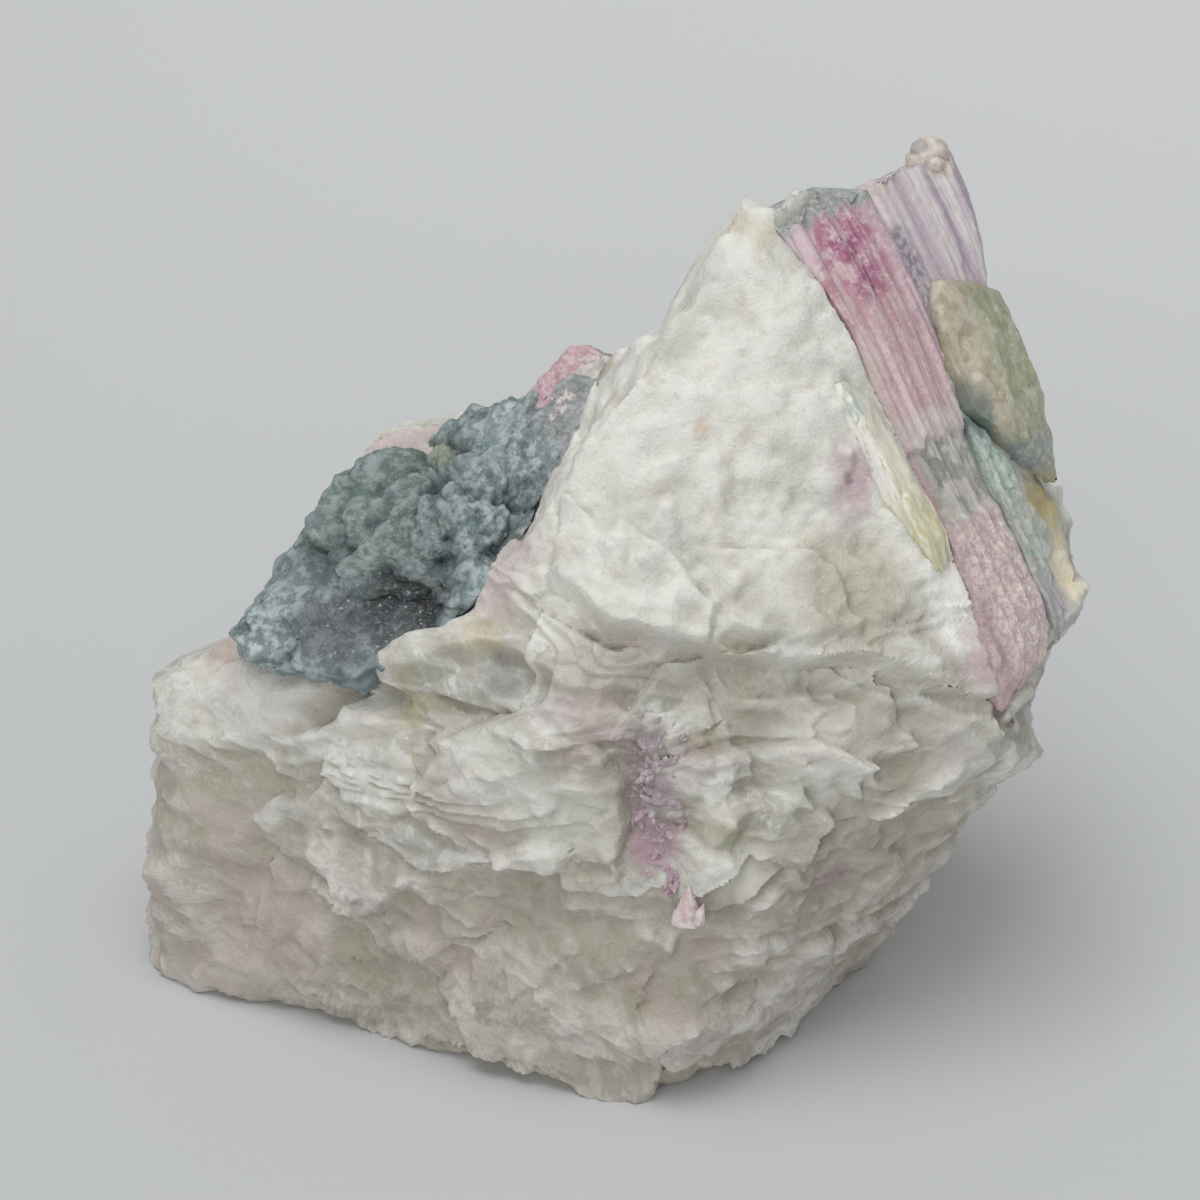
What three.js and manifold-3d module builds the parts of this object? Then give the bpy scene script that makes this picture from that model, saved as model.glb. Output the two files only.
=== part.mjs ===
// Watermelon tourmaline in its white rock: a rough hand specimen that rests on its flat underside.
// Millimetres, +Z up. The front looks along +Y, and +X is to the right.
// The rock and the lumpy crystals are star-shaped: one distance from a heart point for every direction.
// The long crystals are lofts along a bed that is sunk into the rock, each in a socket of its own.
import * as THREE from "three";
import { mergeVertices } from "three/addons/utils/BufferGeometryUtils.js";
import Module from "manifold-3d";

// Driving dimensions
const MIDDLE = [-1.3, 2.9];              // middle of the whole outline, in the coordinates used below
const HEART = [2, 0, 38];                // the rock is measured from here
const EYE = [-2.4, -389.7, 277.2];       // where the outlines below are seen from
const GAP = 0.3;                         // clearance between touching pieces
const RAY_GAP = 0.45;                    // the same for the lumpy crystals, along the rays from their hearts
const ROCK_GRID = 18;                    // squares along one side of the rock's grid
const MASS_GRID = 10;                    // the same for the dark mass
const SMALL_GRID = 4;                    // and for the rose crystal and the knob

// The bed of long crystals: the top of its left edge, the way the crystals run, and the way it faces
const BED_TOP = [18.9, 6, 97.3];
const BED_ALONG = [0.4365, -0.4092, -0.8013];
const BED_OUT = [0.6138, -0.5158, 0.5977];
const BED_DEPTH = 8.5;
const SOCKET_RISE = 45;                  // a socket is open outwards this far above the bed
const SOCKET_BEYOND = 12;                // and this far past the crystal's broken top

// The rock's outline seen from EYE: millimetres right and up of the heart
const ROCK_OUTLINE = [
  [-1.5, -49], [5.5, -47.5], [12, -45], [20, -39], [28.5, -31.5], [34, -23], [42.5, -12], [47, -5.5],
  [46.5, -1], [48, 1.5], [50, 6], [53, 10.5], [54.5, 14], [53, 22], [50.5, 27], [47, 34], [41, 46], [36, 56],
  [26, 60], [18.5, 60.5], [12, 60.5], [6.5, 53.5], [2.5, 45], [-4, 41.5], [-7, 37], [-13, 33.5], [-23, 34.5],
  [-31, 32], [-37, 22], [-43, 12], [-49, 7.5], [-56, 4.5], [-59, -4.5], [-59.5, -15.5], [-58.5, -33.5],
  [-49.5, -36.5], [-37, -39], [-25, -43], [-14, -46],
];

// Broken faces of the rock, above its flat underside at height 0: [azimuth, tilt, point on the face].
// Azimuth 0 faces the front, 90 the right.
const ROCK_FACES = [
  [-25, 2, [-57.6, -5, 0]],       // lower left front
  [-8, 7, [0.6, -30, 0]],         // lower middle front
  [30, -12, [12, -25.5, 0]],      // lower front right of the near corner
  [51, -26, [18, -19, 0]],        // undercut right
  [110, -26, [33, 0, 0]],         // undercut right, further back
  [50, 5, [45.5, -18, 50]],       // right end of the slab
  [4, 33, [11, -8, 78]],          // upper slab
  [19.5, 33.6, [18.9, 6, 97.3]],  // flank beside the long crystals
  [-38, 30, [-12, -10, 62]],      // left bevel of the slab
  [-75, 50, [-50, -6, 48]],       // top of the left end
  [-90, 5, [-58, 0, 25]],         // left end
  [-140, 5, [-46, 22, 20]],       // back left
  [180, 4, [0, 32, 30]],          // back
  [150, 0, [40, 29, 50]],         // back right
  [180, 20, [20, 32, 62]],        // upper back
  [172, 38, [15, 20, 103]],       // top back
  [-120, 50, [-40, 14, 64]],      // top of the back left
  [59, 36, [51.9, 2.4, 57.2]],    // stained side to the right of the long crystals
];

// Hollows, each the space on the outer side of all its planes: above the left ledge, the seat of the dark
// mass behind the ledge's crest, and the crease under the slab
const SLAB_SIDE = [-90, 38, [-1, 6, 79]];
const SLAB_SIDE_TOP = [0, -90, [0, 0, 82]];
const HOLLOWS = [
  [SLAB_SIDE, SLAB_SIDE_TOP, [-15, 45, [-36, -16.5, 50.6]]],
  [SLAB_SIDE, SLAB_SIDE_TOP, [-18, 48, [-30, -4, 54.5]], [160, 35, [-36, -12.5, 51.5]]],
  [[4, 22, [9, -17.5, 53]], [-7, -35, [9, -20, 58.3]]],
];

// Plates that stand proud of the rock, or a pit where the rise is negative: convex outlines seen from EYE
const PLATES = [
  { rise: 2.4, outline: [[-26, -5], [-14, -2], [-4, -7], [-1, -12], [-1.5, -22], [-14, -19.5], [-27, -14]] },
  { rise: 3, outline: [[5, -26], [6.5, -18], [12, -12], [20, -11], [24, -14], [20, -20], [13, -25]] },
  { rise: 1.8, outline: [[20, -1], [31, 2], [33, -6], [27, -8.5], [20, -6]] },
  { rise: 1.6, outline: [[33, -3], [43, 0], [45, -6], [38, -12], [33, -10]] },
  { rise: 2.2, outline: [[-57, 3], [-46, 4], [-32, 0], [-29, -2.5], [-40, -5], [-56, -7]] },
  { rise: -4, outline: [[-26, 2], [-19, 7], [-11, 3], [-13, -1], [-22, -3.5]] },
  { rise: 1.8, outline: [[-9, 24], [0, 21], [10, 12], [8, 7.5], [-2, 9], [-10, 14]] },
  { rise: 1.6, outline: [[10, 19], [24, 17], [27, 9], [20, 7], [11, 9]] },
  { rise: 1.4, outline: [[-44, -18], [-22, -22], [-18, -29], [-34, -33], [-46, -27]] },
  { rise: 1.5, outline: [[-16, -30], [2, -28], [10, -36], [2, -42], [-14, -38]] },
];
const PLATE_EDGE = 1.6;                  // width over which a plate's edge steps down

// Broken texture: [height, cell size, which scatter]
const ROCK_CHIPS = [[1.5, [13, 13, 8], 1], [0.7, [6, 6, 4], 11]];
const MASS_LUMPS = [[1.6, [8, 8, 8], 21], [0.7, [4, 4, 4], 31]];
const KNOB_LUMPS = [[0.5, [2, 2, 2], 41]];

// The big dark blue-green crystal mass, lumpy and hollowed on its front
const MASS_HEART = [-18, 6, 55];
const MASS_FACES = [
  [-18, 48, [-30, -4, 58]],       // broken front
  [-60, 45, [-42, 0, 57.5]],      // upper left
  [0, 70, [-12, 8, 76]],          // top
  [180, 20, [-20, 15, 55]],       // back, in the rock
  [90, -38, [1, 6, 79]],          // right side, under the slab
  [-90, -20, [-47, -4, 48]],      // left end
  [-20, -35, [-36, -12.5, 50.5]], // lower side, behind the crest
];
const MASS_OUTLINE = [
  [-49.5, 8], [-45, 13.5], [-39.5, 21], [-36.5, 27], [-32, 30], [-26.5, 32], [-20, 35.5], [-16, 36.5],
  [-11, 36], [-7.5, 38.5], [-3.5, 41.5], [10, 40], [10, -3], [-24, -3], [-32, -1], [-40, 2.5], [-46, 4.5],
];
const MASS_HOLLOW = { at: [-31, 10], radius: 11, depth: 4.5 };

// The rose crystal whose edge shows behind the dark mass
const ROSE_HEART = [-9, 16, 66];
const ROSE_FACES = [
  [-50, 42, [-13, 14, 74.5]],     // long upper left face
  [10, 50, [-6, 13, 79.5]],       // tip
  [90, 10, [3, 14, 78]],
  [0, -20, [-9, 9, 60]],
  [180, 10, [-9, 21, 66]],
  [-90, 0, [-18, 14, 62]],
  [0, -80, [-10, 12, 57]],
];
const ROSE_OUTLINE = [[-14, 36], [-8.8, 42.6], [-6, 42.9], [0, 40], [4, 34], [2, 24], [-18, 24]];

// Crystals of the bed. A profile is [share of the width, height] from left to right. A station is
// [distance along, left edge, right edge, rise], from the top down.
const LONG_PINK = {
  depth: BED_DEPTH, lean: 0.42, undercut: 1.5,
  profile: [[0, -1.8], [0.12, -0.3], [0.2, 0.2], [0.42, 0.5], [0.48, 0.1], [0.7, 0.2], [0.78, -0.3],
    [0.93, -0.4], [1, -1.4]],
  stations: [
    [-0.5, 0, 16.8, -0.5], [5, 1.8, 17.1, 0], [13, 2.8, 17, 0.2], [18, 2.7, 16.6, 0.1], [25, 2.6, 15.2, -0.3],
    [36, 2.8, 13.9, 0], [42, 2.6, 13.6, 0.2], [51, 1.5, 13.7, 0], [55, 0.7, 13.3, -0.2],
    [58.2, 0.1, 10.2, -1], [60.4, 0.6, 3.2, -2.4],
  ],
};
const LILAC = {
  depth: BED_DEPTH - 1, lean: 0.1, undercut: 0,
  profile: [[0, -1.8], [0.05, -1.2], [0.18, -0.9], [0.22, -1.5], [0.36, -0.8], [0.42, -0.3], [0.56, -0.5],
    [0.6, -1.1], [0.72, -0.6], [0.84, -0.9], [0.9, -1.8], [1, -3]],
  stations: [
    [-0.8, 17.4, 36.2, -0.2], [5, 17.4, 35.4, 0], [11.5, 17.4, 33.6, 0], [17, 17.1, 31, -0.2],
    [25, 17.4, 30, -0.3], [30, 20.5, 29.4, -0.8], [38, 24.6, 28.4, -1.4],
  ],
};
const RIND = {
  depth: 3.2, lean: 0, undercut: 0,
  profile: [[0, -0.6], [0.1, 0], [0.35, 0.6], [0.6, 0.4], [0.85, -0.2], [1, -1.6]],
  stations: [
    [12.8, 20, 22.5, -0.2], [14.2, 18.4, 26.4, 0.2], [16.6, 17.4, 30.6, 0.4], [22.5, 16.4, 30.5, 0.7],
    [28, 16.2, 30.2, 0.8], [31, 18.6, 29.8, 0.8], [36, 22, 29.2, 0.6], [40, 25.4, 28.7, 0.3],
    [41.6, 26.6, 28, -0.4],
  ],
};
const TEAL = {
  depth: BED_DEPTH, lean: 0, undercut: 0,
  profile: [[0, -1.2], [0.3, -0.9], [0.45, -1.6], [0.8, -1.5], [1, -2.6]],
  stations: [
    [28.6, 15.6, 16.3, -0.4], [31, 15.1, 18.2, 0], [36, 14.4, 19.8, 0], [42, 14, 19.4, 0],
    [48, 14.1, 18.6, -0.2], [54, 14.2, 17.6, -0.4], [57.4, 13.6, 15.6, -1.2],
  ],
};
const YELLOW = {
  depth: 4, lean: 0, undercut: 0,
  profile: [[0, -1.2], [0.25, 0.4], [0.7, 0.5], [1, -0.6]],
  stations: [
    [18, -2.4, -0.8, -1], [22, -2.6, 1.7, -0.2], [32, -2.2, 2.3, 0.1], [39, -1.7, 2.3, 0.2],
    [42.4, -1, 1.7, -0.6],
  ],
};
const KNOB = { at: [-1.3, 31, -2.4], wide: 3, high: 2.4 };  // tan lump on the lilac crystal's top corner

// Small crystals on the lower block: [right, up, radius, how far they stand out, lean right, lean up]
const MAUVE_CRYSTALS = [
  [-2.2, -2.5, 2.2, 0.9, -0.3, 0.5], [0.6, -4.6, 2.6, 1.2, -0.1, 0.4], [2.6, -7, 2.6, 1, 0.3, 0.3],
  [0.2, -8.4, 2.4, 1.3, -0.4, 0.1], [3.4, -10.4, 2.5, 1.1, 0.4, 0.1], [1, -11.8, 2.5, 1.4, -0.2, 0],
  [3.8, -14, 2.3, 1, 0.5, -0.1], [1.6, -15.4, 2.5, 1.3, -0.2, -0.2], [3.2, -18, 2.3, 1.1, 0.1, -0.3],
  [4.2, -20.8, 1.9, 0.9, 0.2, -0.5],
];
const PALE_PINK_CRYSTALS = [[6.4, -24.2, 1.7, 2.4, 0, 0.6], [7.2, -25.4, 1.4, 2, 0.4, 0]];
const ROOTED = 3.5;                      // how deep the small crystals sit in the rock

// Directions and places
const vec = (p) => new THREE.Vector3(...p);
const ease = (x) => THREE.MathUtils.smoothstep(x, 0, 1);
const fraction = (x) => x - Math.floor(x);

/** The unit direction that a face with this azimuth and tilt looks in. */
function facing(azimuth, tilt) {
  const a = THREE.MathUtils.degToRad(azimuth);
  const e = THREE.MathUtils.degToRad(tilt);
  return new THREE.Vector3(Math.sin(a) * Math.cos(e), -Math.cos(a) * Math.cos(e), Math.sin(e));
}

const heart = vec(HEART);
const eye = vec(EYE);
const bedTop = vec(BED_TOP);
const bedAlong = vec(BED_ALONG);
const bedOut = vec(BED_OUT);
const bedSide = bedOut.clone().cross(bedAlong).normalize();

/** A point of the bed: s along the crystals, w across to the right, h out of the bed. */
const bed = (s, w, h) =>
  bedTop.clone().addScaledVector(bedAlong, s).addScaledVector(bedSide, w).addScaledVector(bedOut, h);

// Outlines lie on the plane through the heart that is square to the line from the eye
const sight = heart.clone().sub(eye).normalize();
const sideways = new THREE.Vector3(sight.y, -sight.x, 0).normalize();
const upwards = sideways.clone().cross(sight);
const eyeDistance = heart.distanceTo(eye);

/** Where a point is seen: millimetres right and up of the heart. */
function seen(point) {
  const p = point.clone().sub(eye);
  const scale = eyeDistance / p.dot(sight);
  return [p.dot(sideways) * scale, p.dot(upwards) * scale];
}

/** Each edge of a closed outline, as its two ends. */
const edges = (outline) => outline.map((from, i) => [from, outline[(i + 1) % outline.length]]);

/** How far inside a convex outline a seen point is: negative outside. */
function inside([u, v], outline) {
  const turn = Math.sign(THREE.ShapeUtils.area(outline.map((p) => new THREE.Vector2(...p))));
  return Math.min(...edges(outline).map(([[ax, ay], [bx, by]]) =>
    (turn * ((bx - ax) * (v - ay) - (by - ay) * (u - ax))) / Math.hypot(bx - ax, by - ay)));
}

// How far a star-shaped solid reaches in direction d

/** To the nearest of several faces, with the edges between them slightly rounded. */
function facesReach(d, from, faces, sharpness) {
  let sum = 0;
  for (const [azimuth, tilt, point] of faces) {
    const n = facing(azimuth, tilt);
    sum += Math.max(0, d.dot(n) / n.dot(vec(point).sub(from))) ** sharpness;
  }
  return sum ** (-1 / sharpness);
}

/** To the cone that an outline throws from the eye. */
function outlineReach(d, from, outline) {
  const depth = from.clone().sub(eye).dot(sight);
  const [u, v] = seen(from);
  const forward = d.dot(sight);
  const across = d.dot(sideways) - (u / eyeDistance) * forward;
  const rise = d.dot(upwards) - (v / eyeDistance) * forward;
  const length = Math.hypot(across, rise);
  let radius = Infinity;
  for (const [[ax, ay], [bx, by]] of edges(outline)) {
    const cross = (across * (by - ay) - rise * (bx - ax)) / length;
    const reach = ((ax - u) * (by - ay) - (ay - v) * (bx - ax)) / cross;
    const share = ((ax - u) * rise - (ay - v) * across) / length / cross;
    if (reach > 0 && share >= 0 && share <= 1) radius = Math.min(radius, reach);
  }
  const spread = eyeDistance * length - radius * forward;
  return spread > 0 ? (radius * depth) / spread : Infinity;
}

/** To where the ray enters a hollow, or Infinity where it misses. */
function hollowReach(d, from, planes) {
  let enter = -Infinity;
  let leave = Infinity;
  for (const [azimuth, tilt, point] of planes) {
    const n = facing(azimuth, tilt);
    const crossing = n.dot(vec(point).sub(from)) / d.dot(n);
    if (d.dot(n) > 0) enter = Math.max(enter, crossing);
    else leave = Math.min(leave, crossing);
  }
  return enter > 0 && enter < leave ? enter : Infinity;
}

// Texture

/** A repeatable scattered number from 0 to 1 for a cell of space. */
const scatter = ([i, j, k], salt) =>
  fraction(Math.sin(i * 127.1 + j * 311.7 + k * 74.7 + salt * 53.3) * 43758.5453);

/** Chips from about -1 to 1: each point takes the flat, tilted piece of its nearest scattered cell centre. */
function chips(p, size, salt) {
  const q = [p.x / size[0], p.y / size[1], p.z / size[2]];
  let nearest = Infinity;
  let value = 0;
  for (let n = 0; n < 27; n++) {
    const step = [n % 3, Math.floor(n / 3) % 3, Math.floor(n / 9)];
    const cell = q.map((x, i) => Math.floor(x) + step[i] - 1);
    const away = q.map((x, i) => x - cell[i] - scatter(cell, salt + i));
    const distance = away.reduce((sum, x) => sum + x * x, 0);
    if (distance < nearest) {
      nearest = distance;
      const tilt = away.reduce((sum, x, i) => sum + x * (scatter(cell, salt + 4 + i) - 0.5), 0);
      value = scatter(cell, salt + 3) - 0.5 + 2 * tilt;
    }
  }
  return value;
}

/** The height of several layers of chips together. */
const texture = (p, layers) =>
  layers.reduce((sum, [height, size, salt]) => sum + height * chips(p, size, salt), 0);

// Solids

/** A manifold solid from a closed geometry. */
const wasm = await Module();
wasm.setup();
function solid(shape) {
  shape.deleteAttribute("normal");
  shape.deleteAttribute("uv");
  const merged = mergeVertices(shape, 1e-4);
  return new wasm.Manifold(new wasm.Mesh({
    numProp: 3,
    vertProperties: merged.getAttribute("position").array,
    triVerts: Uint32Array.from(merged.getIndex().array),
  }));
}

/** The geometry of a manifold solid. */
function geometry(body) {
  const mesh = body.getMesh();
  const shape = new THREE.BufferGeometry();
  shape.setAttribute("position", new THREE.Float32BufferAttribute(mesh.vertProperties, 3));
  shape.setIndex([...mesh.triVerts]);
  return shape;
}

/** A star-shaped solid: a cube's grid spread evenly over all directions, each as far out as reach says. */
function starSolid(from, grid, reach) {
  const shape = new THREE.BoxGeometry(2, 2, 2, grid, grid, grid);
  const place = shape.getAttribute("position");
  for (let i = 0; i < place.count; i++) {
    const cube = [place.getX(i), place.getY(i), place.getZ(i)];
    const d = vec(cube.map((x) => Math.tan((x * Math.PI) / 4))).normalize();
    const p = from.clone().addScaledVector(d, reach(d));
    place.setXYZ(i, p.x, p.y, p.z);
  }
  return solid(shape);
}

/** A crystal of the bed: its profile stretched between the edges of each station, down to its depth. */
function bedCrystal({ stations, profile, depth, lean, undercut }) {
  const rings = stations.map(([s, left, right, rise], i) => {
    const ring = profile.map(([share, height]) => [left + share * (right - left), height + rise]);
    ring.push([right, -depth], [left + undercut, -depth]);
    return ring.map(([w, h]) => bed(i === 0 ? s + lean * h : s, w, h).toArray());
  });
  const size = rings[0].length;
  const last = (rings.length - 1) * size;
  const faces = [];
  for (let ring = 0; ring < last; ring += size) for (let j = 0; j < size; j++) {
    const a = ring + j;
    const b = ring + ((j + 1) % size);
    faces.push(a, b + size, b, a, a + size, b + size);
  }
  for (let j = 0; j + 2 < size; j++) {
    faces.push(size - 1, j, j + 1);
    faces.push(last + size - 1, last + j + 1, last + j);
  }
  const shape = new THREE.BufferGeometry();
  shape.setAttribute("position", new THREE.Float32BufferAttribute(rings.flat(2), 3));
  shape.setIndex(faces);
  return solid(shape);
}

/** The room for a crystal of the bed: its plan with a gap all round, open outwards and past its top. */
function bedSocket({ stations, depth }, beyond = GAP) {
  const [top, ...edge] = stations[0];
  const wide = [[top - beyond, ...edge], ...stations]
    .map(([s, left, right]) => [s, left - GAP, right + GAP, 0]);
  wide[wide.length - 1][0] += GAP;
  const profile = [[0, SOCKET_RISE], [1, SOCKET_RISE]];
  return bedCrystal({ stations: wide, profile, depth: depth + GAP, lean: 0, undercut: 0 });
}

// The rock before its sockets are cut

/** The rise of the proud plates at a point on the front of the rock. */
const plateRise = (point) => PLATES.reduce((sum, { rise, outline }) =>
  sum + rise * ease(inside(seen(point), outline) / PLATE_EDGE + 0.5), 0);

function rockReach(d) {
  const flat = Math.min(
    facesReach(d, heart, ROCK_FACES, 34),
    outlineReach(d, heart, ROCK_OUTLINE),
    ...HOLLOWS.map((planes) => hollowReach(d, heart, planes)),
  );
  const p = heart.clone().addScaledVector(d, flat);
  const plates = d.dot(sight) < 0.2 ? plateRise(p) : 0;
  const rough = flat + plates + texture(p, ROCK_CHIPS);
  return d.z < 0 ? Math.min(rough, -heart.z / d.z) : rough;
}

/** The point of the rock that is seen at u, v. */
function onRock(u, v) {
  const ray = heart.clone().addScaledVector(sideways, u).addScaledVector(upwards, v).sub(eye).normalize();
  for (let t = eyeDistance - 60; t < eyeDistance + 60; t += 0.25) {
    const p = eye.clone().addScaledVector(ray, t);
    const out = p.clone().sub(heart);
    if (out.length() < rockReach(out.clone().normalize())) return p;
  }
  throw new Error("no rock is seen there");
}

// Lumpy crystals, larger by extra where the rock makes room for them

function darkMass(extra) {
  const from = vec(MASS_HEART);
  return starSolid(from, MASS_GRID, (d) => {
    const flat = Math.min(facesReach(d, from, MASS_FACES, 20), outlineReach(d, from, MASS_OUTLINE));
    const p = from.clone().addScaledVector(d, flat);
    const [u, v] = seen(p);
    const away = Math.hypot(u - MASS_HOLLOW.at[0], 1.2 * (v - MASS_HOLLOW.at[1]));
    const dent = d.dot(sight) < 0 ? MASS_HOLLOW.depth * ease(1 - away / MASS_HOLLOW.radius) : 0;
    return flat - dent + texture(p, MASS_LUMPS) + extra;
  });
}

function roseCrystal(extra) {
  const from = vec(ROSE_HEART);
  return starSolid(from, SMALL_GRID, (d) =>
    Math.min(facesReach(d, from, ROSE_FACES, 40), outlineReach(d, from, ROSE_OUTLINE)) + extra);
}

function knob() {
  return starSolid(bed(...KNOB.at), SMALL_GRID, (d) => {
    const across = d.dot(bedSide) / KNOB.wide;
    const round = Math.hypot(d.dot(bedAlong), d.dot(bedOut)) / KNOB.high;
    return 1 / Math.hypot(across, round) + texture(d.clone().multiplyScalar(KNOB.wide), KNOB_LUMPS);
  });
}

/** A cluster of six-sided crystals with low points, rooted in the rock and grown together. */
function cluster(crystals, extra) {
  return crystals.map(([u, v, radius, proud, leanRight, leanUp]) => {
    const along = sight.clone().negate();
    along.addScaledVector(sideways, leanRight).addScaledVector(upwards, leanUp).normalize();
    const length = ROOTED + proud + 2 * extra;
    const profile = [[0, 0], [0.9 * radius + extra, 0], [radius + extra, length - radius / 2], [0, length]];
    const shape = new THREE.LatheGeometry(profile.map((p) => new THREE.Vector2(...p)), 6);
    shape.applyQuaternion(new THREE.Quaternion().setFromUnitVectors(new THREE.Vector3(0, 1, 0), along));
    const foot = onRock(u, v).addScaledVector(along, -ROOTED - extra);
    return solid(shape.translate(...foot.toArray()));
  }).reduce((whole, crystal) => whole.add(crystal));
}

// Finishes: colour, roughness
const finish = (color, roughness) =>
  new THREE.MeshStandardMaterial({ color, roughness, metalness: 0, flatShading: true });
const WHITE_ROCK = finish(0xcfcdc4, 0.85);
const ROSE_PRISM = finish(0xc08a96, 0.4);
const LILAC_RIBS = finish(0xc9bcc6, 0.4);
const OLIVE_RIND = finish(0x9a9c80, 0.5);
const TURQUOISE = finish(0x8fb0ac, 0.45);
const YELLOW_GLASS = finish(0xd6cd9a, 0.15);
const BLUE_GREEN = finish(0x4a5c5e, 0.45);
const DEEP_ROSE = finish(0xb98a96, 0.5);
const MAUVE = finish(0xa98a98, 0.5);
const PALE_PINK = finish(0xcdbab8, 0.4);

// Assembly
const pinkRoom = bedSocket(LONG_PINK, SOCKET_BEYOND);
const rindRoom = bedSocket(RIND);
const tealRoom = bedSocket(TEAL);
const massRoom = darkMass(RAY_GAP);
const otherRooms = [
  bedSocket(LILAC, SOCKET_BEYOND),
  bedSocket(YELLOW),
  roseCrystal(RAY_GAP),
  cluster(MAUVE_CRYSTALS, GAP),
  cluster(PALE_PINK_CRYSTALS, GAP),
];
const clear = (body, ...others) => others.reduce((left, other) => left.subtract(other), body);
const roughRock = starSolid(heart, ROCK_GRID, rockReach);
const rock = clear(roughRock, pinkRoom, rindRoom, tealRoom, massRoom, ...otherRooms);
const lilac = clear(bedCrystal(LILAC).add(knob()), pinkRoom, rindRoom, tealRoom);

const part = new THREE.Group();
function add(name, body, material) {
  const mesh = new THREE.Mesh(geometry(body), material);
  mesh.name = name;
  part.add(mesh);
}
add("matrix", rock, WHITE_ROCK);
add("long_pink_crystal", bedCrystal(LONG_PINK), ROSE_PRISM);
add("lilac_crystal", lilac, LILAC_RIBS);
add("green_rind", bedCrystal(RIND), OLIVE_RIND);
add("teal_crystal", bedCrystal(TEAL), TURQUOISE);
add("yellow_blade", bedCrystal(YELLOW), YELLOW_GLASS);
add("dark_green_crystal", darkMass(0), BLUE_GREEN);
add("rose_crystal", clear(roseCrystal(0), massRoom), DEEP_ROSE);
add("mauve_crystals", cluster(MAUVE_CRYSTALS, 0), MAUVE);
add("pale_pink_crystal", cluster(PALE_PINK_CRYSTALS, 0), PALE_PINK);
part.position.set(-MIDDLE[0], -MIDDLE[1], 0);

export default part;
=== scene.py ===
"""Watermelon tourmaline in white rock: the finished surfaces, their materials and the studio.

Shapes are worked out in millimetres, in the coordinates of the rock's own drawing, and placed in metres.
"""

import math
from itertools import product

import bpy
import numpy as np
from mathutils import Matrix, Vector


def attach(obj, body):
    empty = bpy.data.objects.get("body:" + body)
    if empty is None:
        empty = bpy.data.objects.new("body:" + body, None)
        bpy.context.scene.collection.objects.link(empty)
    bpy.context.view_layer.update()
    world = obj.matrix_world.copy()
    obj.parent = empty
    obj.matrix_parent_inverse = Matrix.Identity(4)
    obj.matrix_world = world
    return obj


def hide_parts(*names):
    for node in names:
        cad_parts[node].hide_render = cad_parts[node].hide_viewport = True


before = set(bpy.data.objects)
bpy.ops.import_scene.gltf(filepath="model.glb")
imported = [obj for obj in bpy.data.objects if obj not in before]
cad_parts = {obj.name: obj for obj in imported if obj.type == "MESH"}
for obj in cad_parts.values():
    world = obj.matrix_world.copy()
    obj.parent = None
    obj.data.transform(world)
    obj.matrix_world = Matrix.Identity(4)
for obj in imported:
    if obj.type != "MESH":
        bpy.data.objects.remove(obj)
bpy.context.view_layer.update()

# Driving dimensions, in millimetres
MM = 0.001
MIDDLE = np.array([-1.3, 2.9, 0.0])  # middle of the whole outline
HEART = np.array([2.0, 0.0, 38.0])  # the rock is measured from here
EYE = np.array([-2.4, -389.7, 277.2])  # where the outlines below are seen from
SHARP_EDGE = math.radians(38)

# Squares along one side of each grid, and how much the grids crowd towards the front
ROCK_SQUARES = 128
MASS_SQUARES = 115
ROSE_SQUARES = 60
KNOB_SQUARES = 24
CROWDING = 0.4

# The bed of the long crystals: its upper left corner, its directions and its depth
BED_TOP = np.array([18.9, 6.0, 97.3])
BED_ALONG = np.array([0.4365, -0.4092, -0.8013])
BED_OUT = np.array([0.6138, -0.5158, 0.5977])
BED_SIDE = np.cross(BED_OUT, BED_ALONG)
BED_SIDE /= np.linalg.norm(BED_SIDE)
BED_DEPTH = 8.5

# Outlines as seen from the eye: millimetres right and up of the heart
ROCK_OUTLINE = [
    [-1.5, -49], [5.5, -47.5], [12, -45], [20, -39], [28.5, -31.5], [34, -23], [42.5, -12], [47, -5.5],
    [46.5, -1], [48, 1.5], [50, 6], [53, 10.5], [54.5, 14], [53, 22], [50.5, 27], [47, 34], [41, 46],
    [36, 56], [26, 60], [21, 60.6], [19.6, 61.6], [18.6, 61.5], [17, 59.8], [12.4, 60.6], [6.5, 53.5],
    [2.5, 45], [-4, 41.5], [-7, 37], [-13, 33.5], [-20, 35], [-28.5, 34], [-32, 32.8], [-34.8, 29],
    [-37, 22.5], [-43, 12], [-49, 7.5], [-56, 4.5], [-59, -4.5], [-59.5, -15.5], [-58.5, -33.5],
    [-49.5, -36.5], [-37, -39], [-25, -43], [-14, -46],
]  # fmt: skip
SLAB = [[-8, 38], [14, 62], [30, 50], [45, 18], [33, 10], [10, 6], [-3, 7], [-15, 17]]  # white upper slab

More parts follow.
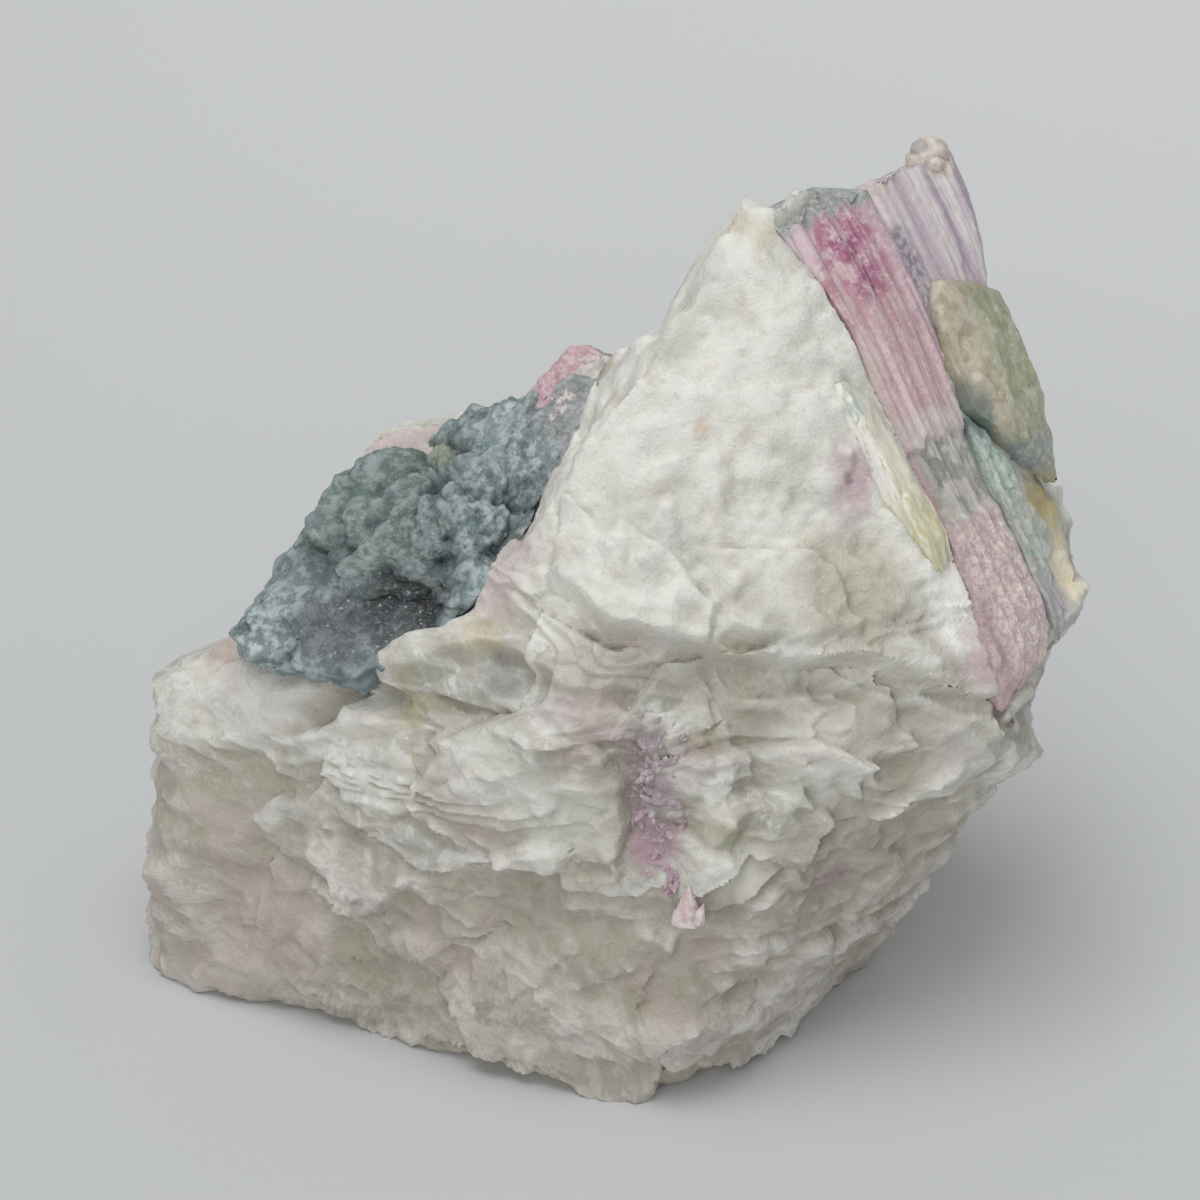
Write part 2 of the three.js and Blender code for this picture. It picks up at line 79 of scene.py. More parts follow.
# Broken faces: azimuth, tilt and a point on the face. Azimuth 0 faces the front, 90 the right.
ROCK_FACES = [
    (-25, 2, (-57.6, -5, 0)),  # lower left front
    (-8, 7, (0.6, -30, 0)),  # lower middle front
    (30, -12, (12, -25.5, 0)),  # lower front right of the near corner
    (51, -26, (18, -19, 0)),  # undercut right
    (110, -26, (33, 0, 0)),  # undercut right, further back
    (50, 5, (45.5, -18, 50)),  # right end of the slab
    (4, 33, (11, -8, 78)),  # upper slab
    (19.5, 33.6, (18.9, 6, 97.3)),  # flank beside the long crystals
    (-38, 30, (-12, -10, 62)),  # left bevel of the slab
    (-75, 50, (-50, -6, 48)),  # top of the left end
    (-90, 5, (-58, 0, 25)),  # left end
    (-140, 5, (-46, 22, 20)),  # back left
    (180, 4, (0, 32, 30)),  # back
    (150, 0, (40, 29, 50)),  # back right
    (180, 20, (20, 32, 62)),  # upper back
    (172, 38, (15, 20, 103)),  # top back
    (-120, 50, (-40, 14, 64)),  # top of the back left
    (59, 36, (51.9, 2.4, 57.2)),  # stained side to the right of the long crystals
]
ROCK_SHARPNESS = 34  # how sharp the edges between the faces are
ROCK_WANDER = [(10, 1.4, 31), (3.5, 0.5, 35)]  # how those edges wander: size, amount and which scatter

# Hollows: the space outside all of these planes
SLAB_SIDE = (-90, 38, (-1, 6, 79))
SLAB_SIDE_TOP = (0, -90, (0, 0, 95))
HOLLOWS = [
    [SLAB_SIDE, SLAB_SIDE_TOP, (-15, 45, (-36, -16.5, 50.6))],  # above the left ledge
    [SLAB_SIDE, SLAB_SIDE_TOP, (-18, 48, (-30, -4, 54.5)), (160, 35, (-36, -12.5, 51.5))],  # the mass's seat
]
CREASE = [(4, 22, (9, -17.5, 53)), (-7, -35, (9, -20, 58.3))]  # under the slab

# Raised plates: thickness and outline as seen
PLATES = [
    (2.4, [[-26, -5], [-14, -2], [-4, -7], [-1, -12], [-1.5, -22], [-14, -19.5], [-27, -14]]),
    (3.0, [[5, -26], [6.5, -18], [12, -12], [20, -11], [24, -14], [20, -20], [13, -25]]),
    (1.8, [[20, -1], [31, 2], [33, -6], [27, -8.5], [20, -6]]),
    (1.6, [[33, -3], [43, 0], [45, -6], [38, -12], [33, -10]]),
    (2.2, [[-57, 3], [-46, 4], [-32, 0], [-29, -2.5], [-40, -5], [-56, -7]]),
    (-4.0, [[-26, 2], [-19, 7], [-11, 3], [-13, -1], [-22, -3.5]]),
    (1.8, [[-9, 24], [0, 21], [10, 12], [8, 7.5], [-2, 9], [-10, 14]]),
    (1.6, [[10, 19], [24, 17], [27, 9], [20, 7], [11, 9]]),
    (1.4, [[-44, -18], [-22, -22], [-18, -29], [-34, -33], [-46, -27]]),
    (1.5, [[-16, -30], [2, -28], [10, -36], [2, -42], [-14, -38]]),
]
PLATE_EDGE = 1.6  # width of the slope round a plate

MASS_HEART = np.array([-18.0, 6.0, 55.0])
MASS_FACES = [
    (-18, 48, (-30, -4, 58)),  # broken front
    (-60, 45, (-42, 0, 57.5)),  # upper left
    (0, 70, (-12, 8, 80.5)),  # top
    (180, 20, (-20, 20, 55)),  # back, in the rock
    (90, -38, (1, 6, 79)),  # right side, under the slab
    (-90, -20, (-47, -4, 48)),  # left end
    (-20, -35, (-36, -12.5, 50.5)),  # lower side, behind the crest
]
MASS_OUTLINE = [
    [-49.5, 8], [-45, 13.5], [-39.5, 21], [-36.5, 27], [-32, 30], [-26.5, 32], [-20, 35.5], [-16, 37],
    [-11.4, 37], [-9.1, 39.4], [-5.7, 41.8], [10, 40], [10, 12], [-20, 11.5], [-24.7, 7], [-29.5, 3.2],
    [-33.5, 0.3], [-40, 2.5], [-46, 4.5],
]  # fmt: skip
MASS_SHARPNESS = 20
MASS_HOLLOW_AT = np.array([-31.0, 10.0])  # as seen
MASS_HOLLOW_RADIUS = 11.0
MASS_HOLLOW_DEPTH = 4.0
MASS_DOMES = [(3.2, 4.8, 141), (1.2, 2.2, 151), (0.4, 1.1, 161)]  # height, cell size and which scatter
# Where the rock lies lower under the mass, as seen, and by how much
MASS_SEAT = [[-45, 8], [-36, 22], [-26, 31], [-12, 36], [-6, 33], [-14, 18], [-22, 7], [-33, 2], [-41, 3.5]]
SEAT_ROOM = 3

ROSE_HEART = np.array([-9.0, 16.0, 66.0])
ROSE_FACES = [
    (-50, 42, (-13, 14, 74.5)),  # long upper left face
    (10, 50, (-6, 13, 79.5)),  # tip
    (90, 10, (3, 14, 78)),
    (0, -20, (-9, 9, 60)),
    (180, 10, (-9, 21, 66)),
    (-90, 0, (-18, 14, 62)),
    (0, -80, (-10, 12, 57)),
]
ROSE_OUTLINE = [[-14, 36], [-8.8, 42.6], [-6, 42.9], [0, 40], [4, 34], [2, 24], [-18, 24]]
ROSE_SHARPNESS = 40

# Crystals of the bed. A profile is (share of the width, height) from left to right. A station is
# (distance along, left edge, right edge, rise), from the top down.
LONG_PINK = {
    "depth": BED_DEPTH, "lean": 0.42, "undercut": 1.5,
    "profile": [(0, -0.15), (0.06, 0.15), (0.2, 0.3), (0.42, 0.5), (0.48, 0.1), (0.7, 0.2), (0.78, -0.3),
                (0.93, -0.4), (1, -0.8)],
    "stations": [(-0.5, 0, 16.8, -0.5), (5, 1.8, 17.1, 0), (13, 2.8, 17, 0.2), (18, 2.7, 16.6, 0.1),
                 (25, 2.6, 15.2, -0.3), (36, 2.8, 13.9, 0), (42, 2.6, 13.6, 0.2), (51, 1.5, 13.7, 0),
                 (55, 0.7, 13.3, -0.2), (58.2, 0.1, 10.2, -1), (60.4, 0.6, 3.2, -2.4)],
}  # fmt: skip
LILAC = {
    "depth": BED_DEPTH - 1, "lean": 0.1, "undercut": 0,
    "profile": [(0, -1.0), (0.05, -0.9), (0.18, -0.9), (0.22, -1.5), (0.36, -0.8), (0.42, -0.3), (0.56, -0.5),
                (0.6, -1.1), (0.72, -0.6), (0.84, -0.9), (0.9, -1.8), (1, -3)],
    "stations": [(-0.8, 17.4, 36.2, -0.2), (5, 17.4, 35.4, 0), (11.5, 17.4, 33.6, 0), (17, 17.1, 31, -0.2),
                 (25, 17.4, 30, -0.3), (30, 20.5, 29.4, -0.8), (38, 24.6, 28.4, -1.4)],
}  # fmt: skip
RIND = {
    "depth": 3.2, "lean": 0, "undercut": 0,
    "profile": [(0, -0.6), (0.1, 0), (0.35, 0.6), (0.6, 0.4), (0.85, -0.2), (1, -1.6)],
    "stations": [(12.8, 20, 22.5, -0.2), (14.2, 18.4, 26.4, 0.2), (16.6, 17.4, 30.6, 0.4),
                 (22.5, 16.4, 30.5, 0.7), (28, 16.2, 30.2, 0.8), (31, 18.6, 29.8, 0.5), (36, 22, 29.2, -1.0),
                 (39, 25, 28.6, -2.4), (40.4, 26.2, 28, -3.2)],
}  # fmt: skip
TEAL = {
    "depth": BED_DEPTH, "lean": 0, "undercut": 0,
    "profile": [(0, -0.7), (0.3, -0.7), (0.45, -1.3), (0.8, -1.2), (1, -1.6)],
    "stations": [(28.6, 15.6, 16.3, -0.4), (31, 15.1, 18.2, 0), (36, 14.4, 19.8, 0), (42, 14, 19.4, 0),
                 (48, 14.1, 18.6, -0.2), (54, 14.2, 17.6, -0.4), (57.4, 13.6, 15.6, -1.2)],
}  # fmt: skip
YELLOW = {
    "depth": 4, "lean": 0, "undercut": 0,
    "profile": [(0, 0.05), (0.25, 0.5), (0.7, 0.5), (1, 0.1)],
    "stations": [(18, -2.4, -0.8, -1), (22, -2.6, 1.7, -0.2), (32, -2.2, 2.3, 0.1), (39, -1.7, 2.3, 0.2),
                 (42.4, -1, 1.7, -0.6)],
}  # fmt: skip
# Each crystal's socket in the rock, and how far it goes on above the crystal's top end
SOCKETS = [(LONG_PINK, 3), (LILAC, 3), (RIND, 0), (TEAL, 0), (YELLOW, 0)]

# The tan knob on the lilac crystal's top corner: its place in the bed and its half sizes
KNOB_AT = (-1.3, 31, -2.4)
KNOB_WIDE = 3.0
KNOB_HIGH = 2.4

# Places of the small mauve crystals: right, up, radius, how far they stand out, lean right, lean up
MAUVE_CRYSTALS = [
    (0.6, -4.6, 2.6, 1.2, -0.1, 0.4), (2.6, -7, 2.6, 1, 0.3, 0.3),
    (0.2, -8.4, 2.4, 1.3, -0.4, 0.1), (3.4, -10.4, 2.5, 1.1, 0.4, 0.1), (1, -11.8, 2.5, 1.4, -0.2, 0),
    (3.8, -14, 2.3, 1, 0.5, -0.1), (1.6, -15.4, 2.5, 1.3, -0.2, -0.2), (3.2, -18, 2.3, 1.1, 0.1, -0.3),
    (4.2, -20.8, 1.9, 0.9, 0.2, -0.5),
]  # fmt: skip
MAUVE_OUT = np.array([0.1, -0.98, 0.17])  # the way the rock faces there
MAUVE_SEED = 301
BLADES_PER_PLACE = 70
# Pale blades: right, up, lean right, half width, length
PALE_BLADES = [(6.3, -27, 0, 1.8, 4.8), (7.4, -26.8, 0.3, 0.9, 2.6), (5.3, -26.9, -0.3, 0.8, 2.2)]

# Chips of the rock: height, cell size and which scatter
LARGE_CHIPS = (1.9, (13, 13, 8), 1)
SMALL_CHIPS = (0.6, (6, 6, 4), 11)
FINE_CHIPS = [(0.32, (3.6, 3.6, 2.4), 51), (0.13, (1.8, 1.8, 1.2), 61)]
CHIP_SLOPE = 0.7  # width of the slope between two chips
CHIP_SLOPE_MOST = 0.2  # the same as a share of their size, at most
SHEET_THICKNESS = 0.75
SLAB_EDGE = 5  # width over which the slab's own relief fades
LIP_AT = (-23.5, 4.0)  # rock that rises over the lower corner of the dark mass, as seen
LIP_RADIUS = 7.0
LIP_HEIGHT = 4.0

# Directions and places


def facing(azimuth, tilt):
    """The unit direction that a face with this azimuth and tilt looks in."""
    a, e = math.radians(azimuth), math.radians(tilt)
    return np.array([math.sin(a) * math.cos(e), -math.cos(a) * math.cos(e), math.sin(e)])


SIGHT = (HEART - EYE) / np.linalg.norm(HEART - EYE)
SIDEWAYS = np.array([SIGHT[1], -SIGHT[0], 0.0])
SIDEWAYS /= np.linalg.norm(SIDEWAYS)
UPWARDS = np.cross(SIDEWAYS, SIGHT)
EYE_DISTANCE = np.linalg.norm(HEART - EYE)


def bed(s, w, h):
    """Points of the bed: s along the crystals, w across to the right, h out of the bed."""
    parts = zip((s, w, h), (BED_ALONG, BED_SIDE, BED_OUT))
    return sum((np.multiply.outer(size, direction) for size, direction in parts), BED_TOP)


def seen(points):
    """Where points are seen: millimetres right and up of the heart."""
    p = points - EYE
    scale = EYE_DISTANCE / (p @ SIGHT)
    return np.stack([(p @ SIDEWAYS) * scale, (p @ UPWARDS) * scale], -1)


def ease(x):
    """0 below 0, 1 above 1 and 3t^2 - 2t^3 between."""
    t = np.clip(x, 0, 1)
    return t * t * (3 - 2 * t)


def inside(uv, outline):
    """How far inside a convex outline seen points are, negative outside: the least distance to an edge."""
    a = np.array(outline, float)
    b = np.roll(a, -1, axis=0)
    edge = b - a
    turn = np.sign(np.sum(a[:, 0] * b[:, 1] - b[:, 0] * a[:, 1]))
    off = uv[:, None, :] - a
    return np.min(turn * (edge[:, 0] * off[..., 1] - edge[:, 1] * off[..., 0]) / np.hypot(*edge.T), axis=1)


# How far a star-shaped surface reaches in directions d


def faces_reach(d, start, faces, sharpness):
    """To the nearest of several faces: the power mean of the distances, which rounds the edges a little."""
    total = 0
    for azimuth, tilt, point in faces:
        n = facing(azimuth, tilt)
        total = total + np.maximum(0, (d @ n) / (n @ (np.array(point) - start))) ** sharpness
    return total ** (-1 / sharpness)


def outline_reach(d, start, outline):
    """To the cone that an outline throws from the eye: the ray's own outline crossing, with perspective."""
    depth = (start - EYE) @ SIGHT
    origin = seen(start[None])[0]
    forward = d @ SIGHT
    across = d @ SIDEWAYS - origin[0] / EYE_DISTANCE * forward
    rise = d @ UPWARDS - origin[1] / EYE_DISTANCE * forward
    length = np.hypot(across, rise)
    a = np.array(outline, float)
    b = np.roll(a, -1, axis=0)
    ex, ey = (b - a).T
    ox, oy = (a - origin).T
    x, y = (across / length)[:, None], (rise / length)[:, None]
    cross = x * ey - y * ex
    with np.errstate(divide="ignore", invalid="ignore"):
        reach = (ox * ey - oy * ex) / cross
        share = (ox * y - oy * x) / cross
        radius = np.min(np.where((reach > 0) & (share >= 0) & (share <= 1), reach, np.inf), axis=1)
        spread = EYE_DISTANCE * length - radius * forward
        return np.where(spread > 0, radius * depth / spread, np.inf)


def hollow_reach(d, start, planes):
    """To where a ray enters the space outside all of several planes, or infinity where it misses."""
    enter = np.full(len(d), -np.inf)
    leave = np.full(len(d), np.inf)
    for azimuth, tilt, point in planes:
        n = facing(azimuth, tilt)
        along = d @ n
        crossing = (n @ (np.array(point) - start)) / along
        enter = np.where(along > 0, np.maximum(enter, crossing), enter)
        leave = np.where(along > 0, leave, np.minimum(leave, crossing))
    return np.where((enter > 0) & (enter < leave), enter, np.inf)


# Texture


SCATTER_STEPS = np.array([127.1, 311.7, 74.7])
SCATTER_SALT = 53.3
SCATTER_SCALE = 43758.5453


def scatter(cells, salt):
    """A repeatable scattered number from 0 to 1 for each cell of space: the fraction of a large sine."""
    t = np.sin(cells @ SCATTER_STEPS + salt * SCATTER_SALT) * SCATTER_SCALE
    return t - np.floor(t)


def scattered(cells, salt):
    """Three scattered numbers for each cell."""
    return np.stack([scatter(cells, salt + i) for i in range(3)], -1)


def nearer(closer, first, second):
    """Lists of arrays by points: the first where closer is true and the second elsewhere."""
    return [np.where(closer if a.ndim == 1 else closer[:, None], a, b) for a, b in zip(first, second)]


def chips(p, size, salt, cells=False):
    """Chips from about -1 to 1: each point takes the flat, tilted piece of its nearest scattered cell centre,
    and slides to the next piece over a short slope at the border. With cells, three scattered numbers of the
    nearest cell come too."""
    q = p / np.array(size, float)
    low = np.floor(q)
    far = np.full(len(p), np.inf)
    near, second = [far, low, 0 * p], [far, low, 0 * p]
    for step in product((-1, 0, 1), repeat=3):
        cell = low + step
        away = q - cell - scattered(cell, salt)
        found = [np.sum(away * away, axis=1), cell, away]
        closer = found[0] < near[0]
        passed = nearer(closer, near, found)
        near = nearer(closer, found, near)
        second = nearer(passed[0] < second[0], passed, second)
    heights = []
    for _, cell, away in (near, second):
        tilt = scattered(cell, salt + 4) - 0.5
        heights.append(scatter(cell, salt + 3) - 0.5 + 2 * np.sum(away * tilt, axis=1))
    slope = min(CHIP_SLOPE / np.mean(size), CHIP_SLOPE_MOST)
    share = 0.5 - 0.5 * ease((np.sqrt(second[0]) - np.sqrt(near[0])) / slope)
    height = heights[0] + share * (heights[1] - heights[0])
    return (height, scattered(near[1], salt + 4) - 0.5) if cells else height


def texture(p, layers):
    """The height of several layers of chips together."""
    return sum(height * chips(p, size, salt) for height, size, salt in layers)


def noise(p, size, salt):
    """Smooth noise from -1 to 1: scattered numbers at the corners of cells, eased between them."""
    q = p / np.array(size, float)
    low = np.floor(q)
    t = ease(q - low)
    total = 0
    for corner in product((0, 1), repeat=3):
        weight = np.prod(np.where(corner, t, 1 - t), axis=-1)
        total = total + weight * scatter(low + corner, salt)
    return 2 * total - 1


def bent(p, size, amount, salt):
    """The points moved about by smooth noise, so that edges cut from them wander."""
    return p + amount * np.stack([noise(p, size, salt + i) for i in range(3)], -1)


def sheets(p, thick, salt):
    """Overlapping cleavage sheets: slow noise cut into steps one sheet thick, less most of the noise."""
    field = (2.2 * noise(p, (17, 17, 8), salt) + 0.8 * noise(p, (8, 8, 3.5), salt + 5)) / thick
    step = np.floor(field)
    return thick * (step + ease((field - step - 0.7) / 0.3) - 0.85 * field - 0.5)


def domes(p, size, salt):
    """Rounded lumps from 0 to 1: a half ball over each scattered cell centre."""
    q = p / size
    low = np.floor(q)
    nearest = np.full(len(p), np.inf)
    for step in product((-1, 0, 1), repeat=3):
        cell = low + step
        away = q - cell - scattered(cell, salt)
        nearest = np.minimum(nearest, np.sum(away * away, axis=1))
    return np.sqrt(1 - np.clip(nearest / 0.8, 0, 0.999))


# Meshes


def make_piece(name, points, faces, marks=None):
    """A mesh from points in millimetres and arrays of face corners, smooth up to a sharp edge. Marks are
    numbers or vectors kept at the points for the material."""
    mesh = bpy.data.meshes.new(name)
    placed = (points - MIDDLE) * MM
    mesh.vertices.add(len(placed))
    mesh.vertices.foreach_set("co", placed.astype(np.float32).ravel())
    sizes = np.concatenate([np.full(len(f), f.shape[1]) for f in faces])
    corners = np.concatenate([f.ravel() for f in faces])
    mesh.loops.add(len(corners))
    mesh.loops.foreach_set("vertex_index", corners.astype(np.int32))
    mesh.polygons.add(len(sizes))
    mesh.polygons.foreach_set("loop_start", np.concatenate([[0], np.cumsum(sizes)[:-1]]).astype(np.int32))
    mesh.polygons.foreach_set("use_smooth", np.ones(len(sizes), bool))
    for key, values in (marks or {}).items():
        kind, field = ("FLOAT", "value") if values.ndim == 1 else ("FLOAT_VECTOR", "vector")
        mesh.attributes.new(key, kind, "POINT").data.foreach_set(field, values.astype(np.float32).ravel())
    mesh.update(calc_edges=True)
    mesh.set_sharp_from_angle(angle=SHARP_EDGE)
    piece = bpy.data.objects.new(name, mesh)
    bpy.context.scene.collection.objects.link(piece)
    return piece


def direction_grid(squares, crowding):
    """Unit directions over a sphere and the squares between them: a cube's surface lattice spread by the
    tangent of its angle, then moved towards the front so that squares crowd there."""
    count = squares + 1
    a, b = np.meshgrid(np.arange(count), np.arange(count), indexing="ij")
    sides = []
    for axis, end in product(range(3), (0, squares)):
        side = np.empty((count, count, 3), int)
        side[..., axis] = end
        side[..., (axis + 1) % 3] = a if end else b
        side[..., (axis + 2) % 3] = b if end else a
        sides.append(side)
    lattice = np.array(sides)
    keys = lattice @ np.array([count * count, count, 1])
    _, first, index = np.unique(keys, return_index=True, return_inverse=True)
    index = index.reshape(keys.shape)
    cube = np.tan((2 * lattice.reshape(-1, 3)[first] / squares - 1) * math.pi / 4)
    d = cube / np.linalg.norm(cube, axis=1, keepdims=True) - crowding * SIGHT
    quads = np.stack([index[:, :-1, :-1], index[:, 1:, :-1], index[:, 1:, 1:], index[:, :-1, 1:]], -1)
    return d / np.linalg.norm(d, axis=1, keepdims=True), quads.reshape(-1, 4)


def tube_faces(rings, around, start=0):
    """Faces of a closed tube: squares between its rings, and a fan to a pole at either end."""
    grid = start + 1 + np.arange(rings * around).reshape(rings, around)
    turned = np.roll(grid, -1, axis=1)
    quads = np.stack([grid[:-1], grid[1:], turned[1:], turned[:-1]], -1).reshape(-1, 4)
    first, last = start, start + 1 + rings * around
    caps = [
        np.stack([np.full(around, first), grid[0], turned[0]], -1),
        np.stack([np.full(around, last), turned[-1], grid[-1]], -1),
    ]
    return [quads, np.concatenate(caps)]


# The rock


def in_plan(points, crystal, above):
    """How far points lie inside a bed crystal's plan, negative outside, and their height over the bed. The
    plan goes on for a distance above the crystal's top end."""
    away = points - BED_TOP
    s, w, h = away @ BED_ALONG, away @ BED_SIDE, away @ BED_OUT
    at, left, right, _ = np.array(crystal["stations"], float).T
    across = np.minimum(w - np.interp(s, at, left), np.interp(s, at, right) - w)
    return np.minimum(across, np.minimum(at[-1] - s, s - at[0] + above)), h


def rock_faces(d):
    """How far the broken rock reaches: the least of its faces, its outline and its hollows. The faces and
    hollows are looked up in directions that noise bends a little, and noise fills part of the crease."""
    outline = outline_reach(d, HEART, ROCK_OUTLINE)
    moved = HEART + d * np.minimum(faces_reach(d, HEART, ROCK_FACES, ROCK_SHARPNESS), outline)[:, None]
    for wander in ROCK_WANDER:
        moved = bent(moved, *wander)
    moved = moved - HEART
    turned = moved / np.linalg.norm(moved, axis=1, keepdims=True)
    flat = np.minimum(faces_reach(turned, HEART, ROCK_FACES, ROCK_SHARPNESS), outline)
    for planes in HOLLOWS:
        flat = np.minimum(flat, hollow_reach(turned, HEART, planes))
    p = HEART + d * flat[:, None]
    fill = np.clip(0.35 + 0.5 * noise(p, 9, 75) + 0.5 * ease((4 - seen(p)[:, 0]) / 14), 0.1, 0.95)
    return flat - (1 - fill) * (flat - np.minimum(flat, hollow_reach(turned, HEART, CREASE)))


def raised_plates(p, uv):
    """The plates and the lip that stand on the front, each eased in over its edge, less the room under the
    dark mass. The plates' edges wander with noise."""
    edge = 0.9 * noise(p, (3, 3, 3), 71)
    plates = sum(rise * ease((inside(uv, outline) + edge) / PLATE_EDGE + 0.5) for rise, outline in PLATES)
    plates = plates + LIP_HEIGHT * ease(1.2 - np.hypot(*(uv - LIP_AT).T) / LIP_RADIUS)
    return plates - SEAT_ROOM * ease(inside(uv, MASS_SEAT) / 2 - 0.5)


def coarse_relief(p, slab):
    """Large and small chips, shallower on the slab, and the scattered numbers of the small ones."""
    q = bent(p, 5, 0.8, 81)
    large = texture(q, [LARGE_CHIPS]) * (1 - 0.75 * slab)
    rise, *chip = SMALL_CHIPS
    height, cells = chips(q, *chip, cells=True)
    return large + rise * height * (1 - 0.9 * slab), cells


def fine_relief(p, slab):
    """Cleavage sheets and fine chips, shallower on the slab, soft waves on the slab alone and a grain."""
    fine = (1 - 0.5 * slab) * sheets(bent(p, 4, 0.7, 91), SHEET_THICKNESS, 111)
    fine = fine + (1 - 0.85 * slab) * texture(bent(p, 2, 0.3, 95), FINE_CHIPS)
    soft = bent(p, 4, 1.5, 125)
    fine = fine + slab * (1.0 * noise(soft, 5, 120) + 0.8 * noise(soft, 2.6, 121) + 0.4 * noise(p, 1.4, 122))
    return fine + 0.2 * noise(p, 1.2, 123)


SOCKET_GAP = 0.25
SOCKET_DEPTH = 2.2
SOCKET_WALL = 1.5  # how fast the rock falls inside a socket's edge
SOCKET_BANK = 1.1  # and how fast it rises outside it
SOCKET_REACH = 2.5  # how far outside a socket the rock is still lowered
OUTWARD = 0.1  # least share of the bed's outward direction for a cut
FRONT_LIMIT = 0.2  # largest share of the line of sight on the front
LEAST_FALL = 1e-9  # keeps a level direction's way to the ground from being infinite


def cut_sockets(d, reach):
    """The reach where the rock is cut down to the bottom of each socket, and to the bank around it."""
    along = d @ BED_OUT
    for crystal, above in SOCKETS:
        room, h = in_plan(HEART + d * reach[:, None], crystal, above)
        fall = np.where(room > 0, np.minimum(SOCKET_DEPTH, SOCKET_WALL * room), SOCKET_BANK * room)
        limit = -SOCKET_GAP - fall
        over = (room > -SOCKET_REACH) & (along > OUTWARD) & (h > limit)
        reach = reach - np.where(over, (h - limit) / np.maximum(along, OUTWARD), 0)
    return reach


def rock_surface(d):
    """Points of the rock in directions d, the height of their relief, and the numbers of their chip: the
    broken faces, plus plates in front, plus coarse and fine relief, cut level below and for the sockets."""
    flat = rock_faces(d)
    p = HEART + d * flat[:, None]
    uv = seen(p)
    front = d @ SIGHT < FRONT_LIMIT
    slab = ease(inside(uv, SLAB) / SLAB_EDGE + 0.5) * front
    coarse, cells = coarse_relief(p, slab)
    fine = fine_relief(p, slab)
    reach = flat + np.where(front, raised_plates(p, uv), 0) + coarse + fine
    ground = -HEART[2] / np.minimum(d[:, 2], -LEAST_FALL)
    reach = np.where(d[:, 2] < 0, np.minimum(reach, ground), reach)
    return HEART + d * cut_sockets(d, reach)[:, None], fine + 0.5 * coarse, cells


NEARER_COUNTS = 0.15  # how much being nearer to the eye counts for a front point
MOST_SHIFT = 1.5  # how far a front point is moved at most


def front_point(points, u, v):
    """The point of a surface that is seen at u, v: its point nearest to there on the side of the eye, moved
    across the line of sight to be there exactly."""
    off = (u, v) - seen(points)
    away = np.hypot(*off.T)
    best = np.argmin(away + NEARER_COUNTS * ((points - EYE) @ SIGHT))
    return points[best] + (off[best] @ [SIDEWAYS, UPWARDS] if away[best] < MOST_SHIFT else 0)


def mass_reach(d):
    """The dark mass: the least of its faces and outline, less a hollow, plus slow noise, three sizes of domes
    and slanted scales. The height of the domes and scales comes too."""
    flat = np.minimum(
        faces_reach(d, MASS_HEART, MASS_FACES, MASS_SHARPNESS), outline_reach(d, MASS_HEART, MASS_OUTLINE)
    )
    p = MASS_HEART + d * flat[:, None]
    away = (seen(p) - MASS_HOLLOW_AT) * [1, 1.2]
    dent = MASS_HOLLOW_DEPTH * ease(1 - np.hypot(*away.T) / MASS_HOLLOW_RADIUS) * (d @ SIGHT < 0)
    slant = np.stack([p @ (0.8, 0, 0.6), p @ (-0.6, 0, 0.8) * 3, p[:, 1]], -1)
    places = (bent(p, 4, 1.2, 131), bent(p, 2, 0.6, 135), p)
    fine = sum(height * (domes(q, size, salt) - 0.8) for q, (height, size, salt) in zip(places, MASS_DOMES))
    fine = fine + 0.7 * noise(slant, 2.6, 165)
    return flat - dent + 1.5 * noise(p, 8, 21) + fine, fine


def rose_reach(d):
    """The rose crystal: the least of its faces and outline, plus small chips and two sizes of noise."""
    flat = np.minimum(
        faces_reach(d, ROSE_HEART, ROSE_FACES, ROSE_SHARPNESS), outline_reach(d, ROSE_HEART, ROSE_OUTLINE)
    )
    p = ROSE_HEART + d * flat[:, None]
    steps = 0.35 * chips(bent(p, 2, 0.4, 181), (3, 3, 1.2), 191)
    return flat + (steps + 0.8 * noise(p, 2.4, 192) + 0.3 * noise(p, 1.0, 193))


# Crystals of the bed

RING_SPACING = 0.3
TOP_POINTS = 90  # points of a ring across the crystal's top
SIDE_POINTS = 10  # and down each of its sides
CAP_RINGS = 7  # rings of an end, with its edge
LEAN_FADE = 3  # distance over which the lean of the top end fades


